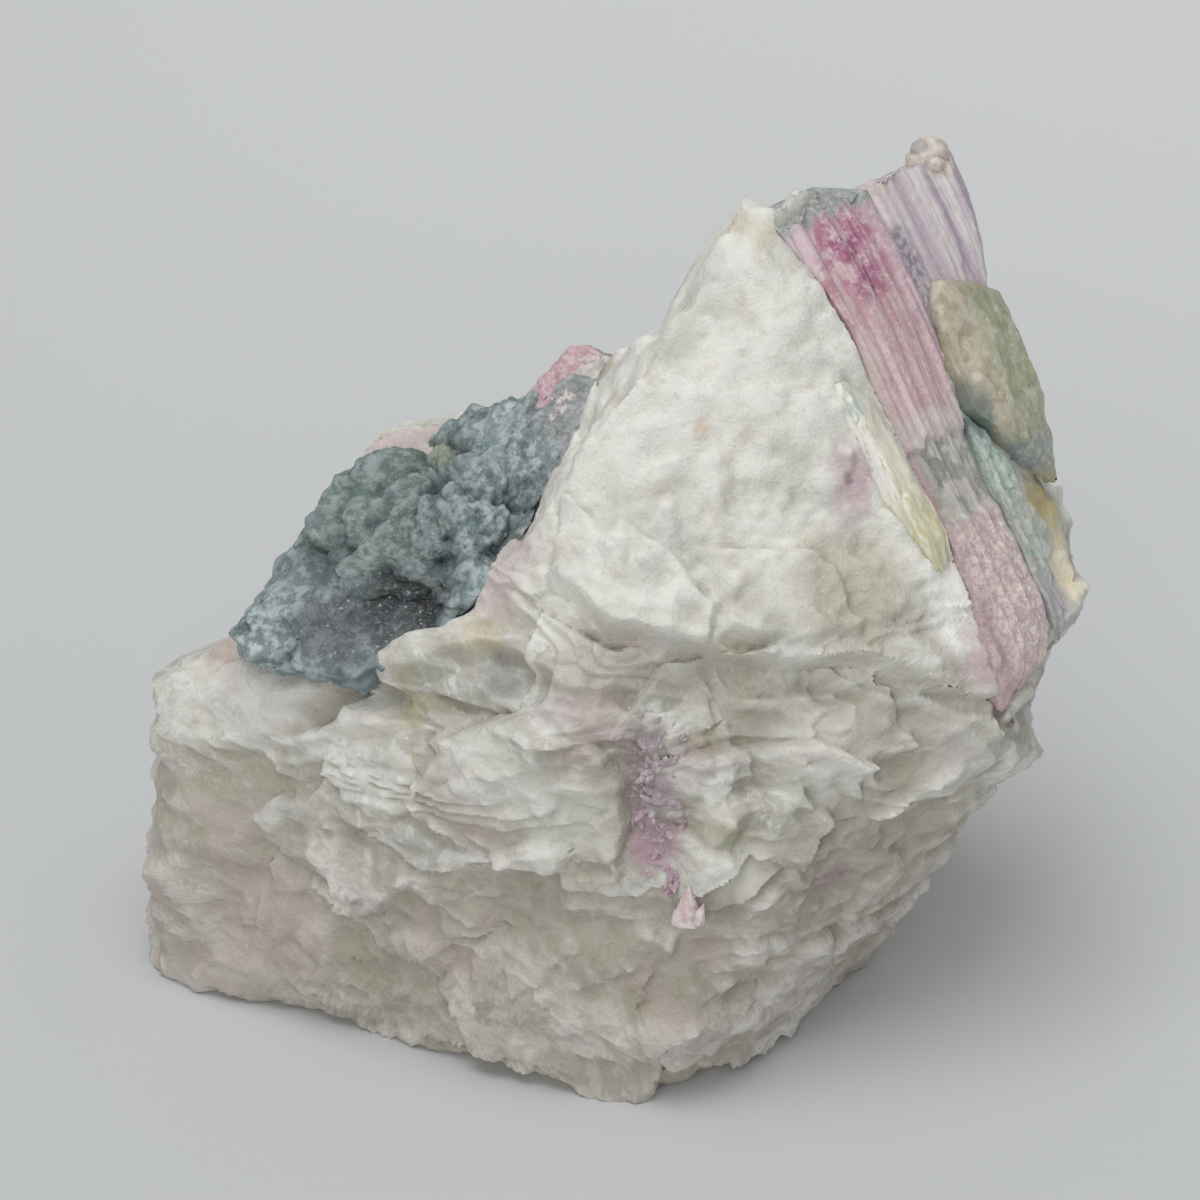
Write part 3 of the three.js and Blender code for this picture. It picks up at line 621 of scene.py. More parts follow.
def bed_rings(crystal, relief):
    """Rings of a bed crystal: its profile stretched between the edges at each distance along, down to its
    depth, with relief(s, w) added to the height. End rings shrink to the middle, moved along by the steps of
    a broken end."""
    at, left, right, rise = np.array(crystal["stations"], float).T
    s = np.arange(at[0], at[-1], RING_SPACING)
    s = np.append(s, at[-1])
    share = np.linspace(0, 1, TOP_POINTS)
    height = np.interp(share, *np.array(crystal["profile"], float).T)
    l, r, up = (np.interp(s, at, v)[:, None] for v in (left, right, rise))
    w_top = l + share * (r - l)
    h_top = height + up + relief(s[:, None], w_top)
    down = np.linspace(0, 1, SIDE_POINTS + 1)[1:]
    depth = crystal["depth"]
    w_right = r + 0 * down
    h_right = h_top[:, -1:] + (-depth - h_top[:, -1:]) * down
    w_left = l + crystal["undercut"] * down[::-1]
    h_left = h_top[:, :1] + (-depth - h_top[:, :1]) * down[::-1]
    w = np.concatenate([w_top, w_right, w_left], 1)
    h = np.concatenate([h_top, h_right, h_left], 1)
    along = np.broadcast_to(s[:, None], w.shape) + 0.0
    along[0] += crystal["lean"] * h[0]
    lean = crystal["lean"] * h * np.clip(1 - (s[:, None] - s[0]) / LEAN_FADE, 0, 1)
    along[1:] = np.maximum(along + lean, along[:1])[1:] if crystal["lean"] else along[1:]
    rings = []
    for ring, turn in ((0, 1), (-1, -1)):
        middle = np.array([along[ring].mean(), w[ring].mean(), h[ring].mean()])
        edge = np.stack([along[ring], w[ring], h[ring]], -1)
        scale = np.linspace(0, 1, CAP_RINGS + 1)[1:-1, None, None]
        cap = middle + (edge - middle) * scale
        steps = broken_end(cap.reshape(-1, 3)).reshape(cap.shape[:2])
        cap[..., 0] += steps * np.minimum(1, 3 * (1 - scale[..., 0]))
        rings.append((middle, cap[::turn]))
    body = np.stack([along, w, h], -1)
    sheet = np.concatenate([rings[0][1], body, rings[1][1]], 0)
    points = np.concatenate([rings[0][0][None], sheet.reshape(-1, 3), rings[1][0][None]])
    return points, sheet.shape[0], sheet.shape[1]


def bed_piece(name, crystal, relief, extra=None):
    """A closed piece of the bed from its rings, joined with an extra closed shell where one is given."""
    swh, rings, around = bed_rings(crystal, relief)
    points = bed(*swh.T)
    faces = tube_faces(rings, around)
    if extra:
        more, quads = extra
        faces = faces + [quads + len(points)]
        points = np.concatenate([points, more])
    return make_piece(name, points, faces)


def ridges(s, w, size, length, salt):
    """Ridges along a crystal: noise that changes fast across it and slowly along it."""
    shape = np.broadcast(s, w).shape
    p = np.stack([np.broadcast_to(s / length, shape), np.broadcast_to(w / size, shape), np.zeros(shape)], -1)
    return noise(p.reshape(-1, 3), 1, salt).reshape(shape)


def grains(s, w, size, salt):
    """Even noise over a crystal's face."""
    return ridges(s, w, size, size, salt)


def facets(s, w, sizes, salt):
    """Flat tilted pieces over a crystal's face."""
    shape = np.broadcast(s, w).shape
    p = np.stack([np.broadcast_to(s, shape), np.broadcast_to(w, shape), np.zeros(shape)], -1).reshape(-1, 3)
    return chips(bent(p, 2, 0.3, salt), (*sizes, 1), salt).reshape(shape)


def pink_relief(s, w):
    """Straight fibres on the upper half, a flat glassy step below them, and grains towards the lower end."""
    fibres = 0.4 * ridges(s, w, 1.4, 40, 201) + 0.3 * ridges(s, w, 0.6, 22, 202)
    grain = 0.25 * grains(s, w, 3.2, 203) + 0.12 * grains(s, w, 1.0, 204)
    ragged = s + 1.2 * ridges(s, w, 1.1, 60, 205)
    lower = ease((s - 25) / 5)
    glassy = ease((ragged - 28.5) / 0.8) * ease((39.5 - s) / 1.5)
    plates = 0.12 * facets(s, w, (3.5, 2.2), 206)
    return fibres * (1 - 0.6 * lower) + (grain + plates) * lower * (1 - 0.75 * glassy) - 0.55 * glassy


def lilac_relief(s, w):
    """Narrow ribs that run the whole length."""
    ribs = 0.35 * ridges(s, w, 1.0, 45, 211) + 0.2 * ridges(s, w, 0.45, 25, 212)
    return ribs + 0.08 * grains(s, w, 0.9, 213)


def rind_relief(s, w):
    """Flat broken pieces of a shallow crust."""
    return 0.5 * facets(s, w, (5, 3.2), 221) + 0.25 * grains(s, w, 2.2, 223) + 0.08 * grains(s, w, 0.8, 222)


def teal_relief(s, w):
    """Short rough ribs and broken pieces."""
    pieces = 0.45 * facets(s, w, (3.5, 1.3), 231)
    return pieces + 0.25 * ridges(s, w, 0.6, 4, 232) + 0.1 * grains(s, w, 0.7, 233)


def yellow_relief(s, w):
    """Glassy flat pieces and long waves."""
    return 0.3 * facets(s, w, (5, 1.8), 241) + 0.15 * ridges(s, w, 1.2, 14, 242)


def broken_end(points):
    """Steps of a broken end, from chips."""
    return 1.1 * chips(points, (2.5, 2.5, 2.5), 251) + 0.5 * chips(points, (1, 1, 1), 252)


def knob_shell():
    """The lumps on the lilac crystal's top corner: an ellipsoid with chips and domes on it."""
    d, quads = direction_grid(KNOB_SQUARES, 0)
    across = (d @ BED_SIDE) / KNOB_WIDE
    reach = 1 / np.hypot(across, np.hypot(d @ BED_ALONG, d @ BED_OUT) / KNOB_HIGH)
    lumps = 0.9 * (domes(d * KNOB_WIDE, 2.4, 261) - 0.7) + 0.25 * (domes(d * KNOB_WIDE, 0.9, 263) - 0.7)
    return bed(*KNOB_AT) + d * (reach + lumps)[:, None], quads


def blades(name, feet, axes, wide, flat, long, levels):
    """Small flattened six-sided crystals, each from its foot along its axis. Levels are (share of the length,
    share of the width) from the foot to the tip, and flat is the thickness as a share of the width."""
    sides = 6
    turn = np.arange(sides) * 2 * math.pi / sides
    axes = axes / np.linalg.norm(axes, axis=1, keepdims=True)
    outward = -SIGHT - (axes @ -SIGHT)[:, None] * axes
    outward /= np.linalg.norm(outward, axis=1, keepdims=True)
    across = np.cross(outward, axes)
    ring = np.cos(turn)[:, None] * across[:, None] + flat * np.sin(turn)[:, None] * outward[:, None]
    rows = [feet[:, None]]
    for at, size in levels:
        middle = feet[:, None] + (at * long)[:, None, None] * axes[:, None]
        rows.append(middle + (size * wide)[:, None, None] * ring)
    rows.append((feet + 1.01 * long[:, None] * axes)[:, None])
    points = np.concatenate(rows, 1)
    count = points.shape[1]
    faces = zip(*(tube_faces(len(levels), sides, i * count) for i in range(len(feet))))
    return make_piece(name, points.reshape(-1, 3), [np.concatenate(f) for f in faces])


def mauve_blades(rock):
    """Blades scattered over each of the cluster's places, nearly flat on the rock and fanning out from the
    middle of the place."""
    random = np.random.default_rng(MAUVE_SEED)
    feet, axes = [], []
    for u, v, radius, proud, lean_right, lean_up in MAUVE_CRYSTALS:
        for spread, angle in random.random((BLADES_PER_PLACE, 2)) * (1.0, 2 * math.pi):
            off = radius * math.sqrt(spread) * np.array([math.cos(angle), math.sin(angle)])
            run = 0.4 * off / radius + (lean_right, 0.5 + lean_up) + 0.45 * random.standard_normal(2)
            axis = run[0] * SIDEWAYS + run[1] * UPWARDS
            axis = axis / np.linalg.norm(axis) + random.uniform(0.0, 0.16) * proud * MAUVE_OUT
            feet.append(front_point(rock, u + off[0], v + off[1]) - 0.4 * MAUVE_OUT)
            axes.append(axis)
    count = len(feet)
    wide, long = random.uniform(0.15, 0.6, count), random.uniform(0.8, 2.4, count)
    levels = [(0.05, 0.7), (0.4, 1.0), (0.8, 0.75), (1.0, 0.2)]
    return blades("mauve_blades", np.array(feet), np.array(axes), wide, 0.5, long, levels)


def pale_triangle(rock):
    """One flat wedge that narrows upwards from a level foot, with smaller ones beside it."""
    feet, axes, sizes = [], [], []
    for u, v, right, wide, long in PALE_BLADES:
        feet.append(front_point(rock, u, v) + 0.2 * MAUVE_OUT)
        axes.append(right * SIDEWAYS + UPWARDS + 0.35 * MAUVE_OUT)
        sizes.append((wide, long))
    wide, long = np.array(sizes).T
    levels = [(0.0, 1.0), (0.2, 0.98), (0.55, 0.6), (0.85, 0.22), (1.0, 0.06)]
    return blades("pale_triangle", np.array(feet), np.array(axes), wide, 0.7, long, levels)


# Materials

# A material lays tones of 0 to 255 over its first colour, most of them by a share that rises between two
# amounts of a noise or two distances. In the bed, s, w and h are the distances along it, across it and out of
# it. Noise and cells are given by their size in millimetres.
UP = (0, 0, 1)
RIGHT = (1, 0, 0)
ORIGIN = (0, 0, 0)
GLOW = (1.0, 0.9, 0.85)  # how far red, green and blue light spread in the stone
MIX_SHARE, MIX_FIRST, MIX_SECOND, MIX_RESULT = 0, 6, 7, 2  # sockets of a Mix node that mixes colours


def srgb(*tone):
    """A colour of 0 to 255 as the light that it stands for."""
    steps = [c / 255 for c in tone]
    return tuple(c / 12.92 if c <= 0.04045 else ((c + 0.055) / 1.055) ** 2.4 for c in steps) + (1,)


class Amount:
    """A socket's value, on which arithmetic adds Math nodes."""

    def __init__(self, finish, socket):
        self.finish, self.socket = finish, socket

    def math(self, operation, *values):
        node = self.finish.node("ShaderNodeMath", {"operation": operation}, dict(enumerate(values)))
        return Amount(self.finish, node.outputs[0])

    def __add__(self, other):
        return self.math("ADD", self, other)

    __radd__ = __add__

    def __mul__(self, other):
        return self.math("MULTIPLY", self, other)

    __rmul__ = __mul__

    def __sub__(self, other):
        return self.math("SUBTRACT", self, other)

    def __rsub__(self, other):
        return self.math("SUBTRACT", other, self)

    def __truediv__(self, other):
        return self.math("DIVIDE", self, other)

    def most(self, other):
        return self.math("MAXIMUM", self, other)

    def size(self):
        return self.math("ABSOLUTE", self)

    def rise(self, low, high):
        """0 below low, 1 above high, eased between. High may be the lower of the two."""
        node = self.finish.node(
            "ShaderNodeMapRange", {"interpolation_type": "SMOOTHSTEP"},
            {"Value": self, "From Min": min(low, high), "From Max": max(low, high),
             "To Min": 0.0 if low < high else 1.0, "To Max": 1.0 if low < high else 0.0},
        )  # fmt: skip
        return Amount(self.finish, node.outputs[0])


class Finish:
    """One material, whose patterns are read from where a point lies in millimetres."""

    def __init__(self, name, roughness, glow=None, **constants):
        """Glow is how much light spreads in the stone and how far, in millimetres."""
        self.material = bpy.data.materials.new(name)
        self.material.use_nodes = True
        self.tree = self.material.node_tree
        self.shader = self.tree.nodes["Principled BSDF"]
        self.shader.inputs["Roughness"].default_value = roughness
        if glow:
            constants["Subsurface_Weight"], spread = glow
            constants["Subsurface_Scale"] = spread * MM
            constants["Subsurface_Radius"] = GLOW
        for socket, value in constants.items():
            self.shader.inputs[socket.replace("_", " ")].default_value = value
        place = self.node("ShaderNodeTexCoord").outputs["Object"]
        self.place = self.vector("ADD", self.vector("SCALE", place, Scale=1 / MM), tuple(MIDDLE))
        self.colour = None

    def node(self, kind, settings=(), values=()):
        """A node of any kind: its settings first, then the values or links of its sockets."""
        made = self.tree.nodes.new(kind)
        for key, value in dict(settings).items():
            setattr(made, key, value)
        for key, value in dict(values).items():
            if isinstance(value, Amount):
                value = value.socket
            if isinstance(value, bpy.types.NodeSocket):
                self.tree.links.new(value, made.inputs[key])
            else:
                made.inputs[key].default_value = value
        return made

    def vector(self, operation, *values, **named):
        values = {**dict(enumerate(values)), **named}
        return self.node("ShaderNodeVectorMath", {"operation": operation}, values).outputs["Vector"]

    def dot(self, first, second):
        made = self.node("ShaderNodeVectorMath", {"operation": "DOT_PRODUCT"}, {0: first, 1: second})
        return Amount(self, made.outputs["Value"])

    def distance(self, place, point):
        made = self.node("ShaderNodeVectorMath", {"operation": "DISTANCE"}, {0: place, 1: tuple(point)})
        return Amount(self, made.outputs["Value"])

    def along(self, direction, origin, place=None):
        """How far a point lies along a direction from an origin."""
        away = self.vector("SUBTRACT", place or self.place, tuple(origin))
        return self.dot(away, tuple(direction))

    def noise(self, size, detail, rough, place=None):
        """Noise from 0 to 1 with features of about this size in millimetres."""
        values = {"Vector": place or self.place, "Scale": 1 / size, "Detail": detail, "Roughness": rough}
        return Amount(self, self.node("ShaderNodeTexNoise", {}, values).outputs["Fac"])

    def bent(self, size, amount):
        """The place moved about by noise."""
        values = {"Vector": self.place, "Scale": 1 / size, "Detail": 2.0}
        colour = self.node("ShaderNodeTexNoise", {}, values).outputs["Color"]
        moved = self.vector("SUBTRACT", colour, (0.5, 0.5, 0.5))
        return self.vector("MULTIPLY_ADD", moved, (2 * amount,) * 3, self.place)

    def stretched(self, sizes, place=None):
        """The place measured along the bed's three directions and divided by a size on each, so that noise
        makes streaks."""
        axes = (BED_ALONG, BED_SIDE, BED_OUT)
        parts = [self.along(axis, ORIGIN, place) / size for axis, size in zip(axes, sizes)]
        return self.node("ShaderNodeCombineXYZ", {}, dict(enumerate(parts))).outputs[0]

    def cells(self, size, place=None):
        """Voronoi cells: the distance to a cell's centre, and a scattered number for each cell."""
        made = self.node("ShaderNodeTexVoronoi", {}, {"Vector": place or self.place, "Scale": 1 / size})
        split = self.node("ShaderNodeSeparateColor", {}, {0: made.outputs["Color"]})
        return Amount(self, made.outputs["Distance"]), Amount(self, split.outputs[0])

    def mark(self, name):
        """A number or a vector kept at the points of the mesh."""
        return self.node("ShaderNodeAttribute", {"attribute_name": name})

    def mix(self, share, first, second):
        """The first colour where share is 0 and the second where it is 1. A colour is a tone of 0 to 255 or
        another node's colour."""
        first, second = (srgb(*tone) if isinstance(tone, tuple) else tone for tone in (first, second))
        values = {MIX_SHARE: share, MIX_FIRST: first, MIX_SECOND: second}
        return self.node("ShaderNodeMix", {"data_type": "RGBA"}, values).outputs[MIX_RESULT]

    def paint(self, share, tone):
        """Lay a tone over the colour so far, where share is 1."""
        self.colour = self.mix(share, self.colour, tone)

    def patch(self, place, point, radius, core):
        """1 near a point, within this share of the radius, fading to 0 at the radius."""
        return self.distance(place, point).rise(radius, radius * core)

    def finish(self, roughness=None, height=None, depth=None):
        """Plug in the colour, the roughness and a bump whose height is in millimetres."""
        self.tree.links.new(self.colour, self.shader.inputs["Base Color"])
        if roughness is not None:
            self.tree.links.new(roughness.socket, self.shader.inputs["Roughness"])
        if height is not None:
            values = {"Height": height, "Distance": depth * MM, "Strength": 1.0}
            bump = self.node("ShaderNodeBump", {}, values)
            self.tree.links.new(bump.outputs[0], self.shader.inputs["Normal"])
        return self.material


# Stains of the rock, and painted light: where they are seen, radius, tone and most share. The near whites at
# (-43, 3) and (-34, -2) are a painted highlight on the top-lit crest, and those at (39.5, 10) and (37, 16) a
# painted highlight on the ridge beside the long crystals. The dark browns at (44, -1), (45.8, -2.5) and (46,
# 1) are painted shadow in the crease under the slab's right tip, and the grey at (-16.5, 2.5) is painted
#    shade in the recess below the dark mass.
STAINS_AND_PAINTED_LIGHT = [
    ((26.5, 28), 4.2, (190, 164, 173), 0.75), ((26.2, 24.5), 3.6, (192, 168, 174), 0.6),
    ((24.8, 31), 2.6, (196, 176, 178), 0.5), ((-18, -9), 9, (222, 222, 214), 0.65),
    ((-9, -14), 8, (222, 222, 214), 0.6), ((13, -21), 6, (230, 229, 222), 0.6),
    ((23, -6), 9, (226, 225, 217), 0.5), ((-14.5, 19), 6, (188, 172, 173), 0.6),
    ((-16, 24), 4, (190, 175, 174), 0.45), ((-9.5, 0), 5, (176, 160, 162), 0.5),
    ((25.5, 27), 1.2, (128, 104, 112), 0.6), ((0.5, -5.5), 4.5, (150, 134, 138), 0.7),
    ((2, -11), 4.5, (148, 126, 136), 0.75), ((2.5, -17), 4.5, (168, 132, 150), 0.7),
    ((-5, -2), 5, (190, 172, 168), 0.55), ((24, -21), 3, (150, 126, 138), 0.6),
    ((6, -8), 4, (188, 170, 172), 0.4), ((26, 13), 11, (186, 178, 160), 0.75),
    ((11, 3.5), 9, (178, 171, 154), 0.6), ((-4, 5), 8, (188, 178, 164), 0.55),
    ((-43, 3), 9, (238, 234, 228), 0.6), ((-34, -2), 6, (234, 230, 222), 0.5),
    ((-17, 13), 5, (198, 178, 178), 0.6), ((-19, 7.5), 3.5, (200, 190, 152), 0.55),
    ((-11, 27), 3.5, (196, 180, 178), 0.5), ((39.5, 10), 5, (252, 250, 246), 0.95),
    ((37, 16), 4.5, (248, 246, 240), 0.85), ((40, -7), 7, (224, 224, 219), 0.4),
    ((42.5, 4), 3.6, (200, 176, 182), 0.7), ((41, 8), 3, (205, 188, 190), 0.5),
    ((0.5, 7.5), 4, (192, 178, 170), 0.4), ((-27, -1.5), 3.2, (178, 172, 134), 0.6),
    ((-28, 3), 2.5, (170, 166, 132), 0.55), ((12, -16.5), 2.4, (150, 152, 118), 0.6),
    ((-16.5, 2.5), 4.2, (150, 152, 154), 0.6), ((-50.5, 6), 4, (186, 160, 150), 0.6),
    ((-28.5, 32.5), 9, (200, 180, 180), 0.75), ((-4, 41), 2.6, (170, 156, 134), 0.7),
    ((-3, 37), 2, (176, 158, 150), 0.5), ((12, 59), 2.4, (196, 184, 160), 0.6),
    ((8, 33), 1.8, (208, 188, 166), 0.55), ((13.5, 32), 1.6, (206, 184, 164), 0.45),
    ((4, 45), 4.5, (196, 198, 184), 0.5), ((44, -1), 1.8, (110, 92, 88), 0.8),
    ((45.8, -2.5), 1.3, (104, 84, 84), 0.7), ((26, -30.5), 1, (178, 160, 100), 0.8),
    ((-44.5, -27), 12, (186, 168, 162), 0.45), ((-27.5, -7), 0.8, (214, 190, 110), 0.8),
    ((46, 1), 1.6, (120, 104, 84), 0.6),
]  # fmt: skip
# Stains beside the long crystals: place in the bed, radius, tone and most share. The near whites at full
# share at (27.7, -3.6, 0), (30.5, -3.4, 0) and (39.5, -5.4, 0), beside the yellow blade, are painted glints.
FLANK_STAINS_AND_GLINTS = [
    ((42, 24.6, -3), 5, (182, 168, 114), 0.85), ((46.5, 23, -2), 3.5, (202, 188, 146), 0.7),
    ((51, 22, -3), 5, (250, 240, 212), 0.9), ((38, 21, -1), 4, (166, 176, 168), 0.7),
    ((45, 19.5, -2), 4, (168, 178, 172), 0.75), ((53, 17.5, -3), 3.5, (184, 178, 182), 0.6),
    ((36, 27, -1), 3, (146, 150, 156), 0.6), ((27.7, -3.6, 0), 1.6, (250, 248, 240), 1),
    ((30.5, -3.4, 0), 1.4, (250, 248, 240), 1), ((24, -4.5, 0), 3, (240, 238, 230), 0.8),
    ((34, -4.8, 0), 2.5, (240, 238, 228), 0.7), ((39.5, -5.4, 0), 1.5, (250, 248, 240), 1),
    ((-1, -1.5, -1), 3, (208, 196, 168), 0.5),
]  # fmt: skip
PATCH_CORE = 0.35  # share of a patch's radius that has its full colour, for stains and painted light alike


def white_rock(points):
    """White to grey feldspar and quartz, greyer low down: the tone of each small chip, streaks along each
    chip's own lay, painted shade in the crevices and a painted highlight on raised edges, then mauve, cream
    and yellow stains, with painted highlights, painted shade and painted glints among them."""
    f = Finish("white_rock", 0.6, glow=(0.25, 2.5), Specular_IOR_Level=0.45)
    soft = f.bent(6, 3.0)
    near = f.bent(2.2, 1.2)
    up = f.along(UP, ORIGIN, soft)
    relief = Amount(f, f.mark("relief").outputs["Fac"])
    chip = f.mark("chip").outputs["Vector"]
    tone = Amount(f, f.node("ShaderNodeSeparateXYZ", {}, {0: chip}).outputs[0])
    lay = f.vector("NORMALIZE", f.vector("ADD", f.vector("SCALE", chip, Scale=1.6), (0.8, 0.1, -0.25)))
    shift = f.vector("SCALE", lay, Scale=f.dot(near, lay) * 0.86)
    streak_place = f.vector("SUBTRACT", near, shift)
    streak = f.noise(1.5, 3, 0.6, streak_place)
    cloud = f.noise(9, 3, 0.55)
    grain = f.noise(0.9, 3, 0.6)
    low = up.rise(66, 46)
    f.colour = f.mix(low, (233, 232, 223), (213, 211, 202))
    f.paint(tone.rise(0.0, 0.35) * (0.2 + 0.6 * low), (230, 230, 224))
    f.paint(tone.rise(0.0, -0.35) * (0.15 + 0.6 * low), (180, 178, 169))
    f.paint(cloud.rise(0.5, 0.66) * 0.75, (200, 202, 196))
    f.paint(streak.rise(0.52, 0.68) * (0.25 + 0.5 * low), (232, 231, 226))
    f.paint(streak.rise(0.5, 0.32) * (0.15 + 0.4 * low), (184, 180, 168))
    foot = up.rise(40, 12)
    grey = f.mix(streak.rise(0.35, 0.62) * 0.5 + tone.rise(-0.4, 0.4) * 0.5, (160, 152, 144), (212, 206, 198))
    f.paint(foot * 0.8, grey)
    cream = f.noise(5, 3, 0.6).rise(0.56, 0.7)
    f.paint(cream * 0.5, (205, 196, 176))
    # Painted shade in the crevices of the relief, more of it low down, and a painted highlight on its raised
    # edges
    f.paint(relief.rise(-0.2, -1.2) * (0.25 + 0.4 * low), (160, 152, 132))
    f.paint(relief.rise(0.2, 0.9) * 0.35, (228, 227, 221))
    pinkish = f.noise(11, 2, 0.5).rise(0.52, 0.66) * low * 0.45
    f.paint(pinkish, (186, 171, 166))
    # Stains, with the painted highlights, painted shade and painted glints listed among them
    for (u, v), radius, stain_and_painted_light, most in STAINS_AND_PAINTED_LIGHT:
        f.paint(f.patch(near, front_point(points, u, v), radius, PATCH_CORE) * most, stain_and_painted_light)
    for place, radius, stain_and_painted_light, most in FLANK_STAINS_AND_GLINTS:
        f.paint(f.patch(near, bed(*place), radius, PATCH_CORE) * most, stain_and_painted_light)
    fibre = f.noise(0.7, 4, 0.7, streak_place)
    f.paint(fibre.rise(0.52, 0.7) * (0.35 - 0.2 * low), (240, 239, 234))
    f.paint(fibre.rise(0.46, 0.3) * 0.3, (168, 164, 153))
    specks, chance = f.cells(0.9)
    fleck = specks.rise(0.35, 0.15) * chance.rise(0.95, 0.98) * low
    f.paint(fleck * 0.5, (190, 174, 140))
    height = 0.55 * grain + 0.35 * f.noise(0.35, 2, 0.6)
    glass = f.noise(3, 3, 0.6)
    return f.finish(0.5 + 0.3 * glass, height, 0.4)


def pink_prism():
    """Magenta at the top, rose streaks, a paler narrow right face that is partly a painted highlight, a
    speckled white band, a grey-green glassy step, then peach pink. The oblique end is grey-green."""
    f = Finish("rose_prism", 0.4, glow=(0.2, 2), Specular_IOR_Level=0.55)
    soft = f.bent(3, 1.6)
    s = f.along(BED_ALONG, BED_TOP, soft)
    w = f.along(BED_SIDE, BED_TOP, soft)
    h = f.along(BED_OUT, BED_TOP)
    fibre = f.noise(1, 4, 0.65, f.stretched((14, 0.6, 0.9)))
    broad = f.noise(1, 3, 0.6, f.stretched((22, 1.9, 2.5), soft))
    cloudy = f.noise(2.4, 4, 0.68, soft)
    grain = f.noise(0.8, 4, 0.65)
    pale = broad.rise(0.38, 0.64) * 0.6 + cloudy.rise(0.4, 0.6) * 0.4
    f.colour = f.mix(pale, (202, 168, 170), (220, 197, 195))
    magenta = s.rise(16, 5) * (cloudy.rise(0.62, 0.42) * 0.6 + 0.4)
    f.paint(magenta * 0.8, (188, 120, 148))
    deep = f.patch(soft, bed(4.2, 8.2, 0), 5.0, 0.2).most(f.patch(soft, bed(9, 8.5, 0), 4.0, 0.2))
    f.paint(deep * cloudy.rise(0.62, 0.42) * 0.9, (158, 84, 126))
    # Paler pink on the narrow right face: partly its own colour, partly a painted highlight
    f.paint(w.rise(13.4, 15.6) * s.rise(26, 12) * 0.8, (206, 180, 190))
    f.paint(w.rise(15.0, 16.6) * 0.6, (172, 152, 168))
    f.paint(fibre.rise(0.52, 0.7) * 0.5 * s.rise(34, 25) * s.rise(3, 9), (228, 208, 208))
    f.paint(cloudy.rise(0.5, 0.66) * s.rise(10, 5) * 0.7, (224, 204, 210))
    sugary = f.noise(0.6, 3, 0.75).rise(0.55, 0.66)
    f.paint(sugary * 0.45, (236, 224, 222))
    f.paint(w.rise(3.5, 0.5) * sugary * 0.8, (226, 220, 216))
    f.paint(fibre.rise(0.46, 0.3) * 0.5 * s.rise(34, 25), (172, 120, 136))
    mottle = f.noise(1.6, 4, 0.7, f.stretched((2.2, 1, 1), soft))
    f.paint(mottle.rise(0.52, 0.64) * 0.55, (226, 212, 210))
    f.paint(mottle.rise(0.44, 0.32) * 0.4, (160, 122, 138))
    corner = f.patch(soft, bed(1.2, 1.4, 0), 4.0, 0.4)
    f.paint(corner * 0.85, (222, 204, 208))
    band = s.rise(24.5, 27) * s.rise(33, 29.6)
    speckle = grain.rise(0.44, 0.6)
    f.paint(band * (0.5 + 0.5 * speckle), (214, 208, 204))
    glassy = s.rise(28.6, 30.2) * s.rise(40, 38) * w.rise(2.6, 4.6)
    clear = f.mix(f.noise(2.4, 3, 0.6).rise(0.42, 0.6), (158, 162, 154), (198, 196, 186))
    f.paint(glassy * 0.88, clear)
    f.paint(glassy * s.rise(34, 30) * w.rise(9, 4) * 0.5, (128, 128, 128))
    _, chance = f.cells(1.6, place=f.stretched((1.5, 1, 1), soft))
    f.paint(glassy * chance.rise(0.6, 0.9) * 0.55, (214, 210, 202))
    f.paint(glassy * chance.rise(0.45, 0.15) * 0.5, (116, 121, 118))
    peach = s.rise(38.5, 41)
    sugar = f.mix(grain.rise(0.4, 0.62), (206, 184, 181), (236, 223, 217))
    f.paint(peach * 0.92, sugar)
    edge = w.rise(4.6, 2.8)
    f.paint(edge * s.rise(18, 26) * 0.6, (180, 150, 156))
    f.paint(s.rise(55, 60) * 0.5, (206, 178, 179))
    f.paint(peach * sugary * 0.5, (238, 228, 224))
    f.paint(peach * mottle.rise(0.46, 0.34) * 0.25, (166, 146, 150))
    f.paint(w.rise(4.4, 2.8) * s.rise(13, 17) * s.rise(30, 26) * 0.6, (208, 197, 190))
    cap = s.rise(1.0, -0.6) * h.rise(0.6, -0.6)
    green = f.mix(grain.rise(0.42, 0.6), (150, 160, 155), (190, 196, 189))
    f.paint(cap * 0.9, green)
    height = 0.6 * fibre * (1 - peach) + 0.5 * grain + 0.3 * broad + 0.3 * sugary * peach
    rough = 0.52 - 0.3 * glassy + 0.2 * (grain - 0.5)
    return f.finish(rough, height, 0.4)


# Stripes of the lilac crystal: place across the bed, half width, tone and most share
LILAC_STRIPES = [
    (25.2, 1.5, (226, 220, 216), 0.85), (30.1, 1.2, (228, 222, 220), 0.85), (28, 1.5, (178, 162, 180), 0.6),
    (33, 1.9, (176, 156, 178), 0.75), (22.5, 1.6, (188, 172, 182), 0.6),
]  # fmt: skip


